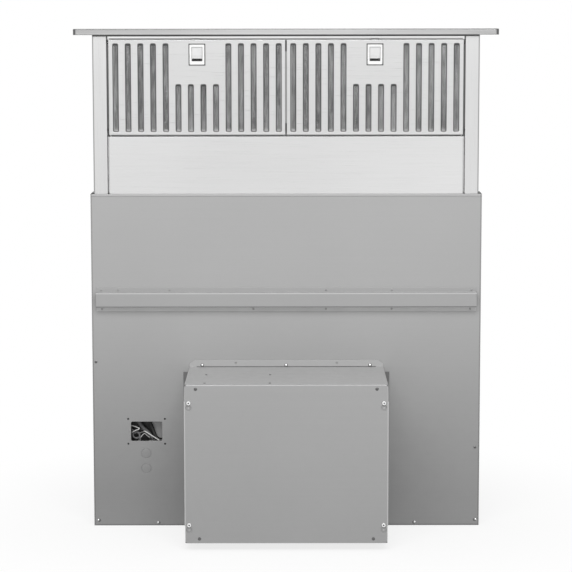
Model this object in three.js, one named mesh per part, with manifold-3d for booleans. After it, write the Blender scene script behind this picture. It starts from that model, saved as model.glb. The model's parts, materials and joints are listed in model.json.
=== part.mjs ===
// Downdraft vent: a riser with two slotted filter panels that lifts out of a flat chassis, with a
// centrifugal blower box on the chassis front. Millimetres, +Z up, +X right, +Y towards the back.
// Origin: centre of the chassis base. The riser is modelled raised.
import * as THREE from "three";
import { mergeVertices } from "three/addons/utils/BufferGeometryUtils.js";
import Module from "manifold-3d";

const wasm = await Module();
wasm.setup();

// ---------------------------------------------------------------------------
// Driving dimensions
// ---------------------------------------------------------------------------
const FIT = 0.3; // gap between pieces that touch
const SHEET = 1; // chassis and blower box sheet
const STAINLESS = 1.2; // riser and cap sheet

const CHASSIS_WIDTH = 847.4;
const CHASSIS_HEIGHT = 733;
const CHASSIS_DEPTH = 54;
const SIDE_FLANGE = 12;
const HEM_HEIGHT = 5;
const HEM_PROUD = 0.8;
const PAN_SHEET = 1.2;
const PAN_LIP = 20;
const BACK_SLOT = [8, 16]; // wall fixing slots in the back sheet, width and height
const BACK_SLOT_X = 300;
const BACK_SLOT_ROWS = [60, 330, 560];
const INLET_CORNER = 9;

const LIFT_TRAVEL = 340;
const RISER_OVERLAP = 120; // length of riser that stays in the chassis when raised
const RISER_SIDE_GAP = 7; // chassis outside to riser outside
const RISER_DEPTH = 46;
const CAP_CLEARANCE = 2.2; // cap underside to chassis top when lowered
const COLUMN_WIDTH = 30.7;

const CAP_OVERHANG = 33.5; // past the chassis at each end
const CAP_DEPTH = 70;
const CAP_THICKNESS = 12.8;
const CAP_CORNER = 9;
const CAP_EDGE = 1.5;
const CAP_LIP = 8;
const GASKET_HEIGHT = 2.3;
const GASKET_WALL = 6;
const HEADER_HEIGHT = 4; // bright strip under the gasket

const FILTER_HEIGHT = 204.1;
const FILTER_TOP_GAP = 3.8;
const FILTER_BOTTOM_GAP = 3.6;
const FILTER_SIDE_GAP = 3.8; // panel to column
const FILTER_SPLIT = 1; // between the two panels
const PANEL_RETURN = 12;
const SLOT_COUNT = 14;
const SHORT_SLOTS = 4;
const SLOT_WIDTH = 11.8;
const SLOT_CORNER = 3;
const SLOT_MARGIN_X = 1.65;
const SLOT_MARGIN_BOTTOM = 6.9;
const SLOT_MARGIN_TOP = 7.7;
const SHORT_SLOT_HEIGHT = 102;
const HINGE_BACK = 6; // hinge axis behind the panel face
const HINGE_UP = 5.6; // hinge axis above the panel's lower edge
const HINGE_PIN = 2;

const BEZEL_WIDTH = 32;
const BEZEL_HEIGHT = 42.8;
const BEZEL_TOP_MARGIN = 10;
const BEZEL_FLANGE = 0.8;
const WINDOW_WIDTH = 21.8;
const WINDOW_HEIGHT = 28.7;
const WINDOW_TOP_MARGIN = 6; // bezel top to window top
const LATCH_TRAVEL = 4.5;
const TONGUE_WIDTH = 14;
const TONGUE_THICKNESS = 1.5;

const STIFFENER_WIDTH = 827;
const STIFFENER_PROUD = 16;
const STIFFENER_CROWN = 30;
const STIFFENER_FLANGE = 11;
const STIFFENER_HEIGHT = 503; // middle of the hat above the base

const CUTOUT_WIDTH = 68.3;
const CUTOUT_HEIGHT = 43.1;
const CUTOUT_X = -306.8;
const CUTOUT_Z = 211;
const CUTOUT_CORNER = 3;
const COVER_HOLE_MARGIN = 6.1; // cut-out edge to the cover's screw holes
const COVER_HOLE = 1.8;
const KNOCKOUT_X = -307.8;
const KNOCKOUT_ROWS = [162, 128.5];
const KNOCKOUT_RADIUS = 11.25;
const KNOCKOUT_GROOVE = 0.9;
const KNOCKOUT_DEPTH = 0.4;
const BOX_MARGIN = 2.6; // cut-out edge to the inside of the junction box
const JUNCTION_DEPTH = 38;
const JUNCTION_FLANGE = 9;

const BLOWER_WIDTH = 424.4;
const BLOWER_BOTTOM = 17;
const BLOWER_TOP = 354;
const BLOWER_DEPTH = 232; // chassis front to the cover's face
const BLOWER_TOP_FLANGE = 15.5;
const BLOWER_SIDE_FLANGE = 12.8;
const SIDE_FLANGE_TOP = 343;
const FLANGE_CHAMFER_X = 11.6;
const FLANGE_CHAMFER_Z = 8;
const BOX_FLANGE = 22; // inward front flange of the blower box's sides
const COVER_BEND = 2; // outer radius of the bend along the cover's top edge
const COVER_LIP = 4.5; // how far that edge reaches over the box
const COVER_NOTCH = 2.4; // relief notch at the cover's corners
const COVER_RETURN = 24;
const COVER_RETURN_BOTTOM = 54;
const COVER_RETURN_TOP = 319;
const KEYHOLE_X = 204;
const KEYHOLE_TOP = 315;
const KEYHOLE_BOTTOM = 55.5;
const KEYHOLE_DROP = 10;
const KEYHOLE_HEAD = 6.2;
const KEYHOLE_NECK = 2.6;
const SHOULDER_HEAD = 4.35; // radius of the heads that hold the cover in its keyholes
const SHOULDER_HEAD_HEIGHT = 2;
const SHOULDER_CHAMFER = 0.5;
const SHOULDER_SOCKET = 1.5;
const PILOT_HOLE = 2;
const PILOT_HOLE_X = 110.5;
const PILOT_HOLE_Z = 362.7;
const TOP_HOLE = 2;
const TOP_HOLE_COLUMNS = [-171, -34.5];
const TOP_HOLE_ROWS = [106.5, 212.5]; // in front of the chassis

const WHEEL_Z = 178;
const WHEEL_RADIUS = 92;
const WHEEL_EYE = 76;
const WHEEL_WIDTH = 98;
const WHEEL_PLATE = 1.6;
const WHEEL_RIM = 2.2;
const WHEEL_SIDES = 42;
const BLADE_COUNT = 28;
const BLADE_THICKNESS = 1.2;
const BLADE_LEAN = 0.32; // blade chord against the radius, radians
const BLADE_BOW = 4.5;
const HUB_RADIUS = 14;
const HUB_LENGTH = 24;
const SHAFT_RADIUS = 4;
const SCROLL_CLEARANCE = 11; // wheel to scroll at its tongue
const SCROLL_GROWTH = 58; // how much the scroll widens to its outlet
const SCROLL_DEPTH = 122;
const SCROLL_WALL = 1.2;
const SCROLL_TONGUE_X = 26;
const TONGUE_NOSE = 9;
const INLET_SIDES = 30;
const INLET_HALF = 92; // half of the chassis opening behind the blower
const INLET_CLEARANCE = 4; // throat inside the wheel's eye
const INLET_FLARE = 16;
const INLET_REACH = 6; // throat past the scroll's back plate
const INLET_PLATE_MARGIN = 12;
const INLET_GAP = 23; // chassis front to the scroll's back plate
const MOTOR_RADIUS = 56;
const MOTOR_LENGTH = 62;
const MOTOR_BELL = 48;
const MOTOR_BELL_FRONT = 10; // how far the bells stand out of the can
const MOTOR_BELL_BACK = 6;
const MOTOR_BOSS = 20;
const MOTOR_FOOT = 5;
const SHAFT_IN_MOTOR = 38;
const DUCT_RADIUS = 75;
const DUCT_DROP = 15;
const DUCT_FLANGE = 8;

const SCREW_RADIUS = 6;
const SCREW_TOP_SPARE = 15; // above the nut when the riser is raised
const BEARING_HEIGHT = 20.5;
const BEARING_WIDTH = 28;
const BEARING_DEPTH = 32;
const NUT_HEIGHT = 22;
const PULLEY_RADIUS = 10;
const PULLEY_FLANGE = 3;
const PULLEY_FLANGE_THICKNESS = 1;
const BELT_WIDTH = 8;
const BELT_THICKNESS = 1.4;
const PULLEY_GROOVES = 8;
const PULLEY_GROOVE_DEPTH = 1.2;
const LIFT_MOTOR_OFFSET = 49.5; // motor shaft inboard of the right screw
const LIFT_GEARBOX = 40;
const LIFT_GEARBOX_HEIGHT = 26;
const LIFT_MOTOR_RADIUS = 17;
const LIFT_MOTOR_HEIGHT = 72;
const LIFT_SHAFT = 3;
const LIFT_SHAFT_DEPTH = 12; // how far the shaft runs into the gearbox
const PULLEY_GAP = 4; // pulley to the bearing below or the bracket above
const BELT_CLEARANCE = 1;
const CAPACITOR_RADIUS = 17.5;
const CAPACITOR_HEIGHT = 70;
const CAPACITOR_Z = 250;
const CAPACITOR_BEVEL = 2;
const TERMINAL = [6, 1, 8]; // width, thickness and height
const CONTROL_WIDTH = 80;
const CONTROL_HEIGHT = 90;
const CONTROL_DEPTH = 24;
const CONTROL_X = -195;
const CONTROL_Z = 120;
const CONTROL_RIM = 4;

const KEEPER_BACK = 2.5; // keeper strip behind the header's face
const HEADER_BACK_FLANGE = 14;
const SILL_HEIGHT = 14;
const LEDGE_BACK = 9; // ledge's back edge behind the hinge axis
const EAR_THICKNESS = 2;
const EAR_GAP = 1.5;
const EAR_ROOM = 2; // hinge ear to the filter and to the panel's lower return
const FILTER_THICKNESS = 9;
const FILTER_FRAME = 5;
const FILTER_SILL = 9; // lower rail of the filter's frame
const NOTCH_INSET = 10;
const NOTCH_RAIL = 7; // short slots' top to the notch in the filter
const FILTER_RECESS = 2;
const FILTER_CORE = 3;
const SLIDER_RECESS = 0.6;
const PLATE_TAIL = 10; // slider's back plate below the window
const SPRING_ROOM = 27; // window to the spring's shelf
const SPRING_SEAT = 4;
const SPRING_RADIUS = 2.6;
const SPRING_WIRE = 0.45;
const SPRING_TURNS = 5;

const GLIDE_HEIGHT = 28;
const GLIDE_REACH = 1.6; // past the column's inner side
const GLIDE_PEEK = 1.5; // how far the corner glides stand above the chassis

// ---------------------------------------------------------------------------
// Derived planes
// ---------------------------------------------------------------------------
const chassisHalf = CHASSIS_WIDTH / 2;
const frontFace = -CHASSIS_DEPTH / 2;
const backFace = CHASSIS_DEPTH / 2;
const frontInside = frontFace + SHEET;
const backInside = backFace - SHEET;
const sideInside = chassisHalf - SHEET;

const riserHalf = chassisHalf - RISER_SIDE_GAP;
const riserFront = -RISER_DEPTH / 2;
const riserBack = RISER_DEPTH / 2;
const riserBottom = CHASSIS_HEIGHT - RISER_OVERLAP;
const riserHeight = CHASSIS_HEIGHT + LIFT_TRAVEL + CAP_CLEARANCE - riserBottom;
const columnInside = riserHalf - COLUMN_WIDTH;
const columnTop = riserHeight - FIT - GASKET_HEIGHT - FIT;
const filterTop = columnTop - HEADER_HEIGHT - FILTER_TOP_GAP;
const filterBottom = filterTop - FILTER_HEIGHT;
const lowerPanelTop = filterBottom - FILTER_BOTTOM_GAP;
const panelWidth = columnInside - FILTER_SIDE_GAP - FILTER_SPLIT / 2;
const panelX = (columnInside - FILTER_SIDE_GAP + FILTER_SPLIT / 2) / 2;
const hingeY = riserFront + HINGE_BACK;
const hingeZ = filterBottom + HINGE_UP;
const screwX = riserHalf - COLUMN_WIDTH / 2;

// ---------------------------------------------------------------------------
// Solid helpers
// ---------------------------------------------------------------------------
function toSolid(geometry) {
  const bare = geometry.clone();
  bare.deleteAttribute("normal");
  bare.deleteAttribute("uv");
  const merged = mergeVertices(bare);
  const places = merged.attributes.position.array;
  const corners = Uint32Array.from(merged.index.array);
  let volume = 0;
  for (let i = 0; i < corners.length; i += 3) {
    const [a, b, c] = [0, 1, 2].map((k) =>
      new THREE.Vector3().fromArray(places, 3 * corners[i + k]),
    );
    volume += a.dot(b.cross(c));
  }
  if (volume < 0) {
    corners.reverse();
  }
  return new wasm.Manifold(
    new wasm.Mesh({
      numProp: 3,
      vertProperties: Float32Array.from(places),
      triVerts: corners,
    }),
  );
}

function box(x0, x1, y0, y1, z0, z1) {
  const geometry = new THREE.BoxGeometry(x1 - x0, y1 - y0, z1 - z0);
  geometry.translate((x0 + x1) / 2, (y0 + y1) / 2, (z0 + z1) / 2);
  return toSolid(geometry);
}

const X = new THREE.Vector3(1, 0, 0);
const Y = new THREE.Vector3(0, 1, 0);
const Z = new THREE.Vector3(0, 0, 1);

function extruded(shape, depth, options = {}) {
  return new THREE.ExtrudeGeometry(shape, {
    depth,
    bevelEnabled: false,
    curveSegments: 2,
    ...options,
  });
}

// A shape drawn in X and Y, raised from z0 to z1.
function extrudeZ(shape, z0, z1, options) {
  return toSolid(extruded(shape, z1 - z0, options).translate(0, 0, z0));
}

// A shape drawn in X and Z, running from y0 to y1.
function extrudeY(shape, y0, y1, options) {
  const geometry = extruded(shape, y1 - y0, options);
  geometry.rotateX(Math.PI / 2);
  return toSolid(geometry.translate(0, y1, 0));
}

// A shape drawn in Y and Z, running from x0 to x1.
function extrudeX(shape, x0, x1, options) {
  const geometry = extruded(shape, x1 - x0, options);
  geometry.applyMatrix4(new THREE.Matrix4().makeBasis(Y, Z, X));
  return toSolid(geometry.translate(x0, 0, 0));
}

// A closed profile of [radius, height] pairs turned about the Z axis.
function revolve(profile, segments) {
  const points = profile.map(([r, h]) => new THREE.Vector2(r, h));
  if (profile[0][0] > 0) {
    points.push(points[0].clone());
  }
  return new THREE.LatheGeometry(points, segments).rotateX(Math.PI / 2);
}

function cylinderZ(radius, z0, z1, segments = 16) {
  return toSolid(
    revolve(
      [
        [0, z0],
        [radius, z0],
        [radius, z1],
        [0, z1],
      ],
      segments,
    ),
  );
}

function cylinderY(radius, y0, y1, segments = 20) {
  return cylinderZ(radius, -y1, -y0, segments).rotate([90, 0, 0]);
}

function cylinderX(radius, x0, x1, segments = 16) {
  return cylinderZ(radius, x0, x1, segments).rotate([0, 90, 0]);
}

function roundedRect(width, height, radius, cx = 0, cy = 0) {
  const shape = new THREE.Shape();
  const w = width / 2;
  const h = height / 2;
  shape.moveTo(cx - w + radius, cy - h);
  shape.lineTo(cx + w - radius, cy - h);
  shape.absarc(cx + w - radius, cy - h + radius, radius, -Math.PI / 2, 0);
  shape.lineTo(cx + w, cy + h - radius);
  shape.absarc(cx + w - radius, cy + h - radius, radius, 0, Math.PI / 2);
  shape.lineTo(cx - w + radius, cy + h);
  shape.absarc(cx - w + radius, cy + h - radius, radius, Math.PI / 2, Math.PI);
  shape.lineTo(cx - w, cy - h + radius);
  shape.absarc(cx - w + radius, cy - h + radius, radius, Math.PI, 1.5 * Math.PI);
  return shape;
}

function polygon(radius, sides) {
  const points = Array.from({ length: sides }, (_, i) => {
    const angle = (2 * Math.PI * i) / sides;
    return new THREE.Vector2(radius * Math.cos(angle), radius * Math.sin(angle));
  });
  return new THREE.Shape(points);
}

// A folded sheet: the points run along one face and the other face is offset to their left.
function foldedStrip(points, thickness) {
  const path = points.map(([u, v]) => new THREE.Vector2(u, v));
  const normals = path.slice(1).map((end, i) => {
    const along = end.clone().sub(path[i]).normalize();
    return new THREE.Vector2(-along.y, along.x);
  });
  const offset = path.map((point, i) => {
    const before = normals[Math.max(i - 1, 0)];
    const after = normals[Math.min(i, normals.length - 1)];
    const miter = before.clone().add(after);
    return point.clone().add(miter.multiplyScalar(thickness / (1 + before.dot(after))));
  });
  return new THREE.Shape([...path, ...offset.reverse()]);
}

function union(solids) {
  return solids.reduce((whole, piece) => whole.add(piece));
}

function cut(solid, tools) {
  return tools.reduce((rest, tool) => rest.subtract(tool), solid);
}

const MATERIALS = {
  chassisSteel: new THREE.MeshStandardMaterial({ color: 0xb2b5b8, roughness: 0.5, metalness: 0.6 }),
  stainless: new THREE.MeshStandardMaterial({ color: 0xdcddde, roughness: 0.32, metalness: 0.9 }),
  bezelWhite: new THREE.MeshStandardMaterial({ color: 0xe9e9e7, roughness: 0.4, metalness: 0.3 }),
  filterMesh: new THREE.MeshStandardMaterial({ color: 0x9b9da0, roughness: 0.6, metalness: 0.7 }),
  blackRubber: new THREE.MeshStandardMaterial({ color: 0x1c1c1d, roughness: 0.8, metalness: 0 }),
  blackNylon: new THREE.MeshStandardMaterial({ color: 0x151515, roughness: 0.55, metalness: 0 }),
  castAlloy: new THREE.MeshStandardMaterial({ color: 0x9fa2a5, roughness: 0.55, metalness: 0.7 }),
  screwSteel: new THREE.MeshStandardMaterial({ color: 0xa8aaac, roughness: 0.35, metalness: 0.9 }),
  brass: new THREE.MeshStandardMaterial({ color: 0xb58d3d, roughness: 0.4, metalness: 0.9 }),
  whiteWire: new THREE.MeshStandardMaterial({ color: 0xe4e4e0, roughness: 0.5, metalness: 0 }),
  darkPlastic: new THREE.MeshStandardMaterial({ color: 0x2b2c2e, roughness: 0.6, metalness: 0 }),
};

function addPiece(parent, name, shape, material) {
  let geometry = shape;
  if (!(shape instanceof THREE.BufferGeometry)) {
    const { vertProperties, triVerts } = shape.getMesh();
    geometry = new THREE.BufferGeometry();
    geometry.setAttribute("position", new THREE.BufferAttribute(vertProperties, 3));
    geometry.setIndex(new THREE.BufferAttribute(triVerts, 1));
    geometry.computeVertexNormals();
  }
  const mesh = new THREE.Mesh(geometry, material);
  mesh.name = name;
  parent.add(mesh);
  return mesh;
}

function addGroup(parent, x, y, z) {
  const group = new THREE.Group();
  group.position.set(x, y, z);
  parent.add(group);
  return group;
}

const SIDES = [
  ["left", -1],
  ["right", 1],
];

function mirrored(solid, side) {
  return side < 0 ? solid.mirror([1, 0, 0]) : solid;
}

const vent = new THREE.Group();
const chassis = addGroup(vent, 0, 0, 0);
const riser = addGroup(vent, 0, 0, riserBottom);

// ---------------------------------------------------------------------------
// Chassis shell
// ---------------------------------------------------------------------------
const coverHoles = [-1, 1].flatMap((sx) =>
  [-1, 1].map((sz) => [
    CUTOUT_X + sx * (CUTOUT_WIDTH / 2 + COVER_HOLE_MARGIN),
    CUTOUT_Z + sz * (CUTOUT_HEIGHT / 2 + COVER_HOLE_MARGIN),
  ]),
);

function coverHoleTools(y0, y1) {
  return coverHoles.map(([x, z]) => cylinderY(COVER_HOLE, y0, y1, 8).translate(x, 0, z));
}

// A shallow ring pressed into the front sheet round each knockout.
function knockoutGroove(z) {
  const inner = KNOCKOUT_RADIUS - KNOCKOUT_GROOVE;
  const ring = cylinderY(KNOCKOUT_RADIUS, frontFace - SHEET, frontFace + KNOCKOUT_DEPTH, 24);
  const island = cylinderY(inner, frontFace - 2 * SHEET, frontFace + SHEET, 24);
  return ring.subtract(island).translate(KNOCKOUT_X, 0, z);
}

function chassisFront() {
  const sheet = box(-chassisHalf, chassisHalf, frontFace, frontInside, 0, CHASSIS_HEIGHT);
  const hem = box(
    -chassisHalf,
    chassisHalf,
    frontFace - HEM_PROUD,
    frontInside,
    CHASSIS_HEIGHT - HEM_HEIGHT,
    CHASSIS_HEIGHT,
  );
  const through = [frontFace - SHEET, frontInside + SHEET];
  const cutout = roundedRect(CUTOUT_WIDTH, CUTOUT_HEIGHT, CUTOUT_CORNER, CUTOUT_X, CUTOUT_Z);
  const inlet = roundedRect(2 * INLET_HALF, 2 * INLET_HALF, INLET_CORNER, 0, WHEEL_Z);
  return cut(sheet.add(hem), [
    extrudeY(cutout, ...through),
    extrudeY(inlet, ...through),
    ...coverHoleTools(...through),
    ...KNOCKOUT_ROWS.map(knockoutGroove),
  ]);
}

function chassisBack() {
  const sheet = box(-chassisHalf, chassisHalf, backInside, backFace, 0, CHASSIS_HEIGHT);
  const [width, height] = BACK_SLOT;
  const slots = [-BACK_SLOT_X, BACK_SLOT_X].flatMap((x) =>
    BACK_SLOT_ROWS.map((z) =>
      extrudeY(roundedRect(width, height, width / 2 - FIT, x, z), backInside - SHEET, backFace + SHEET),
    ),
  );
  return cut(sheet, slots);
}

function chassisSide(side) {
  const top = CHASSIS_HEIGHT - GLIDE_HEIGHT - SIDE_FLANGE / 2;
  const front = frontInside + FIT;
  const back = backInside - FIT;
  const channel = foldedStrip(
    [
      [chassisHalf - SIDE_FLANGE, front],
      [chassisHalf, front],
      [chassisHalf, back],
      [chassisHalf - SIDE_FLANGE, back],
    ],
    SHEET,
  );
  const bottom = PAN_SHEET + FIT;
  const web = box(sideInside, chassisHalf, front, back, bottom, CHASSIS_HEIGHT);
  return mirrored(extrudeZ(channel, bottom, top).add(web), side);
}

function basePan() {
  const half = chassisHalf;
  const lipHalf = chassisHalf - SIDE_FLANGE - SHEET;
  const front = frontInside + FIT;
  const back = backInside - FIT;
  const pan = box(-half, half, front, back, 0, PAN_SHEET);
  const lips = [
    box(-lipHalf, lipHalf, front, front + PAN_SHEET, 0, PAN_LIP),
    box(-lipHalf, lipHalf, back - PAN_SHEET, back, 0, PAN_LIP),
  ];
  return union([pan, ...lips]);
}

function frontStiffener() {
  const face = frontFace - FIT;
  const crown = face - STIFFENER_PROUD;
  const low = STIFFENER_HEIGHT - STIFFENER_CROWN / 2;
  const high = STIFFENER_HEIGHT + STIFFENER_CROWN / 2;
  const profile = foldedStrip(
    [
      [face, low - STIFFENER_FLANGE],
      [face, low],
      [crown, low],
      [crown, high],
      [face, high],
      [face, high + STIFFENER_FLANGE],
    ],
    SHEET,
  );
  return extrudeX(profile, -STIFFENER_WIDTH / 2, STIFFENER_WIDTH / 2);
}

function topGlide(side) {
  const outer = sideInside - FIT;
  const inner = riserHalf + FIT;
  const reach = columnInside - GLIDE_REACH;
  const top = CHASSIS_HEIGHT - GLIDE_PEEK;
  const bottom = CHASSIS_HEIGHT - GLIDE_HEIGHT;
  const front = frontInside + FIT;
  const back = backInside - FIT;
  const clip = new THREE.Shape(
    [
      [reach, front],
      [outer, front],
      [outer, back],
      [reach, back],
      [reach, riserBack + FIT],
      [inner, riserBack + FIT],
      [inner, riserFront - FIT],
      [reach, riserFront - FIT],
    ].map(([x, y]) => new THREE.Vector2(x, y)),
  );
  const peek = box(inner, outer, front, back, top - GLIDE_PEEK, CHASSIS_HEIGHT + GLIDE_PEEK);
  return mirrored(extrudeZ(clip, bottom, top).add(peek), side);
}

addPiece(chassis, "chassis_front", chassisFront(), MATERIALS.chassisSteel);
addPiece(chassis, "chassis_back", chassisBack(), MATERIALS.chassisSteel);
addPiece(chassis, "chassis_base_pan", basePan(), MATERIALS.chassisSteel);
addPiece(chassis, "front_stiffener", frontStiffener(), MATERIALS.chassisSteel);
for (const [word, side] of SIDES) {
  addPiece(chassis, `chassis_side_${word}`, chassisSide(side), MATERIALS.chassisSteel);
  addPiece(chassis, `top_glide_${word}`, topGlide(side), MATERIALS.blackNylon);
}

// ---------------------------------------------------------------------------
// Junction box with its cable and wires
// ---------------------------------------------------------------------------
const mouth = frontInside + FIT;
const cavityHalfX = CUTOUT_WIDTH / 2 + BOX_MARGIN;
const cavityHalfZ = CUTOUT_HEIGHT / 2 + BOX_MARGIN;

function junctionBox() {
  const floor = mouth + JUNCTION_DEPTH;
  const outer = box(
    CUTOUT_X - cavityHalfX - SHEET,
    CUTOUT_X + cavityHalfX + SHEET,
    mouth,
    floor,
    CUTOUT_Z - cavityHalfZ - SHEET,
    CUTOUT_Z + cavityHalfZ + SHEET,
  );
  const flange = box(
    CUTOUT_X - cavityHalfX - JUNCTION_FLANGE,
    CUTOUT_X + cavityHalfX + JUNCTION_FLANGE,
    mouth,
    mouth + SHEET,
    CUTOUT_Z - cavityHalfZ - JUNCTION_FLANGE,
    CUTOUT_Z + cavityHalfZ + JUNCTION_FLANGE,
  );
  const cavity = box(
    CUTOUT_X - cavityHalfX,
    CUTOUT_X + cavityHalfX,
    mouth - SHEET,
    floor - SHEET,
    CUTOUT_Z - cavityHalfZ,
    CUTOUT_Z + cavityHalfZ,
  );
  return cut(outer.add(flange), [cavity, ...coverHoleTools(mouth - SHEET, mouth + 2 * SHEET)]);
}

// A round tube along a smooth curve through its points, in X, depth and Z from the box centre.
function wire(points, radius, steps) {
  const curve = new THREE.CatmullRomCurve3(
    points.map(([x, depth, z]) => new THREE.Vector3(CUTOUT_X + x, mouth + depth, CUTOUT_Z + z)),
  );
  return new THREE.ExtrudeGeometry(polygon(radius, 6), {
    steps,
    extrudePath: curve,
    bevelEnabled: false,
  });
}

const wireRadius = 1.2;
const cableRadius = 3.8;
const WHITE_WIRE = [
  [-cavityHalfX + FIT, 15.5, 9.8],
  [-33, 15.5, 9.4],
  [-26, 15.4, 7.4],
  [-19.9, 15.2, 4.8],
  [-17.3, 15.1, 2.7],
  [-19.9, 15.3, 1],
  [-26, 16, -1.6],
  [-31.8, 17.5, -5.2],
  [-33.6, 22, -8.2],
  [-32, 29, -10],
  [-24, 33, -10],
  [-14, 31, -9],
  [-9.4, 25, -6],
  [-6, 18, -3.4],
  [-0.4, 15.5, -6],
  [7.6, 15.1, -11.1],
  [16.6, 15.1, -16.9],
  [20.8, 15.2, -19.6],
  [24, 15.3, -21.3],
  [25.3, 15.5, -22.4],
  [25.3, 15.5, -cavityHalfZ + FIT],
];
const CABLE = [
  [4.2, 21, cavityHalfZ - FIT],
  [4.2, 21, cavityHalfZ - cableRadius],
  [5.4, 21, 16.5],
  [8, 21, 11.4],
  [12.5, 21, 0],
  [17, 21, -12],
  [19.4, 21, -17],
  [20.6, 21, -cavityHalfZ + cableRadius],
  [20.6, 21, -cavityHalfZ + FIT],
];
addPiece(chassis, "junction_box", junctionBox(), MATERIALS.chassisSteel);
addPiece(chassis, "white_wire", wire(WHITE_WIRE, wireRadius, 40), MATERIALS.whiteWire);
addPiece(chassis, "supply_cable", wire(CABLE, cableRadius, 14), MATERIALS.blackRubber);

// ---------------------------------------------------------------------------
// Blower box, cover and duct collar
// ---------------------------------------------------------------------------
const blowerHalf = BLOWER_WIDTH / 2;
const coverFace = frontFace - BLOWER_DEPTH;
const boxFront = coverFace + SHEET + FIT;
const boxBack = frontFace - FIT;
const scrollBack = frontFace - INLET_GAP;
const scrollFront = scrollBack - SCROLL_DEPTH;
const outletRight = WHEEL_RADIUS + SCROLL_CLEARANCE + SCROLL_GROWTH;
const ductX = (SCROLL_TONGUE_X + outletRight) / 2;
const ductY = (scrollBack + scrollFront) / 2;

function blowerTop() {
  const front = coverFace + COVER_LIP + FIT;
  const under = BLOWER_TOP - SHEET;
  const flangeTop = BLOWER_TOP + BLOWER_TOP_FLANGE;
  const outline = new THREE.Shape(
    [
      [-blowerHalf, under],
      [blowerHalf, under],
      [blowerHalf, flangeTop - FLANGE_CHAMFER_Z],
      [blowerHalf - FLANGE_CHAMFER_X, flangeTop],
      [-blowerHalf + FLANGE_CHAMFER_X, flangeTop],
      [-blowerHalf, flangeTop - FLANGE_CHAMFER_Z],
    ].map(([x, z]) => new THREE.Vector2(x, z)),
  );
  const sheet = box(-blowerHalf, blowerHalf, front, boxBack, under, BLOWER_TOP);
  const holes = TOP_HOLE_COLUMNS.flatMap((x) =>
    TOP_HOLE_ROWS.map((y) =>
      cylinderZ(TOP_HOLE, under - SHEET, BLOWER_TOP + SHEET, 8).translate(x, frontFace - y, 0),
    ),
  );
  const pilots = [-PILOT_HOLE_X, PILOT_HOLE_X].map((x) =>
    cylinderY(PILOT_HOLE, boxBack - 2 * SHEET, boxBack + SHEET, 12).translate(x, 0, PILOT_HOLE_Z),
  );
  return cut(sheet.add(extrudeY(outline, boxBack - SHEET, boxBack)), [...holes, ...pilots]);
}

function blowerBottom() {
  const top = BLOWER_BOTTOM + SHEET;
  const sheet = box(-blowerHalf, blowerHalf, boxFront, boxBack, BLOWER_BOTTOM, top);
  const hole = cylinderZ(DUCT_RADIUS + FIT, BLOWER_BOTTOM - SHEET, top + SHEET, INLET_SIDES);
  return sheet.subtract(hole.translate(ductX, ductY, 0));
}

// Each side is a Z-shaped sheet: a flange inwards at the front and outwards on the chassis.
function blowerSide(side) {
  const wide = blowerHalf + BLOWER_SIDE_FLANGE;
  const high = BLOWER_TOP - SHEET - FIT;
  const profile = foldedStrip(
    [
      [blowerHalf - BOX_FLANGE, boxFront],
      [blowerHalf, boxFront],
      [blowerHalf, boxBack - SHEET],
      [wide, boxBack - SHEET],
    ],
    SHEET,
  );
  const sheet = extrudeZ(profile, BLOWER_BOTTOM + SHEET + FIT, high);
  const above = box(
    blowerHalf,
    wide + SHEET,
    boxBack - 2 * SHEET,
    boxBack + SHEET,
    SIDE_FLANGE_TOP,
    high + SHEET,
  );
  const bendRoom = box(
    0,
    wide,
    boxFront - SHEET,
    boxFront + SHEET,
    BLOWER_TOP - COVER_BEND - FIT,
    high + SHEET,
  );
  return mirrored(cut(sheet, [above, bendRoom]), side);
}

function keyhole(x, z) {
  const depth = [coverFace - SHEET, coverFace + 2 * SHEET];
  const head = cylinderY(KEYHOLE_HEAD, ...depth, 14).translate(x, 0, z - KEYHOLE_DROP);
  const tip = cylinderY(KEYHOLE_NECK, ...depth, 10).translate(x, 0, z);
  const neck = box(x - KEYHOLE_NECK, x + KEYHOLE_NECK, ...depth, z - KEYHOLE_DROP, z);
  return union([head, tip, neck]);
}

// The head of a shoulder screw, seated over its keyhole's tip and drawn as one with the cover.
function shoulderScrew(x, z) {
  const top = coverFace - SHOULDER_HEAD_HEIGHT;
  const chamfered = cylinderY(SHOULDER_HEAD - SHOULDER_CHAMFER, top, coverFace, 16);
  const head = cylinderY(SHOULDER_HEAD, top + SHOULDER_CHAMFER, coverFace + SHEET / 2, 16);
  const socket = cylinderY(SHOULDER_SOCKET, top - SHEET, coverFace - SHEET / 2, 8);
  return union([chamfered, head]).subtract(socket).translate(x, 0, z);
}

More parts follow.
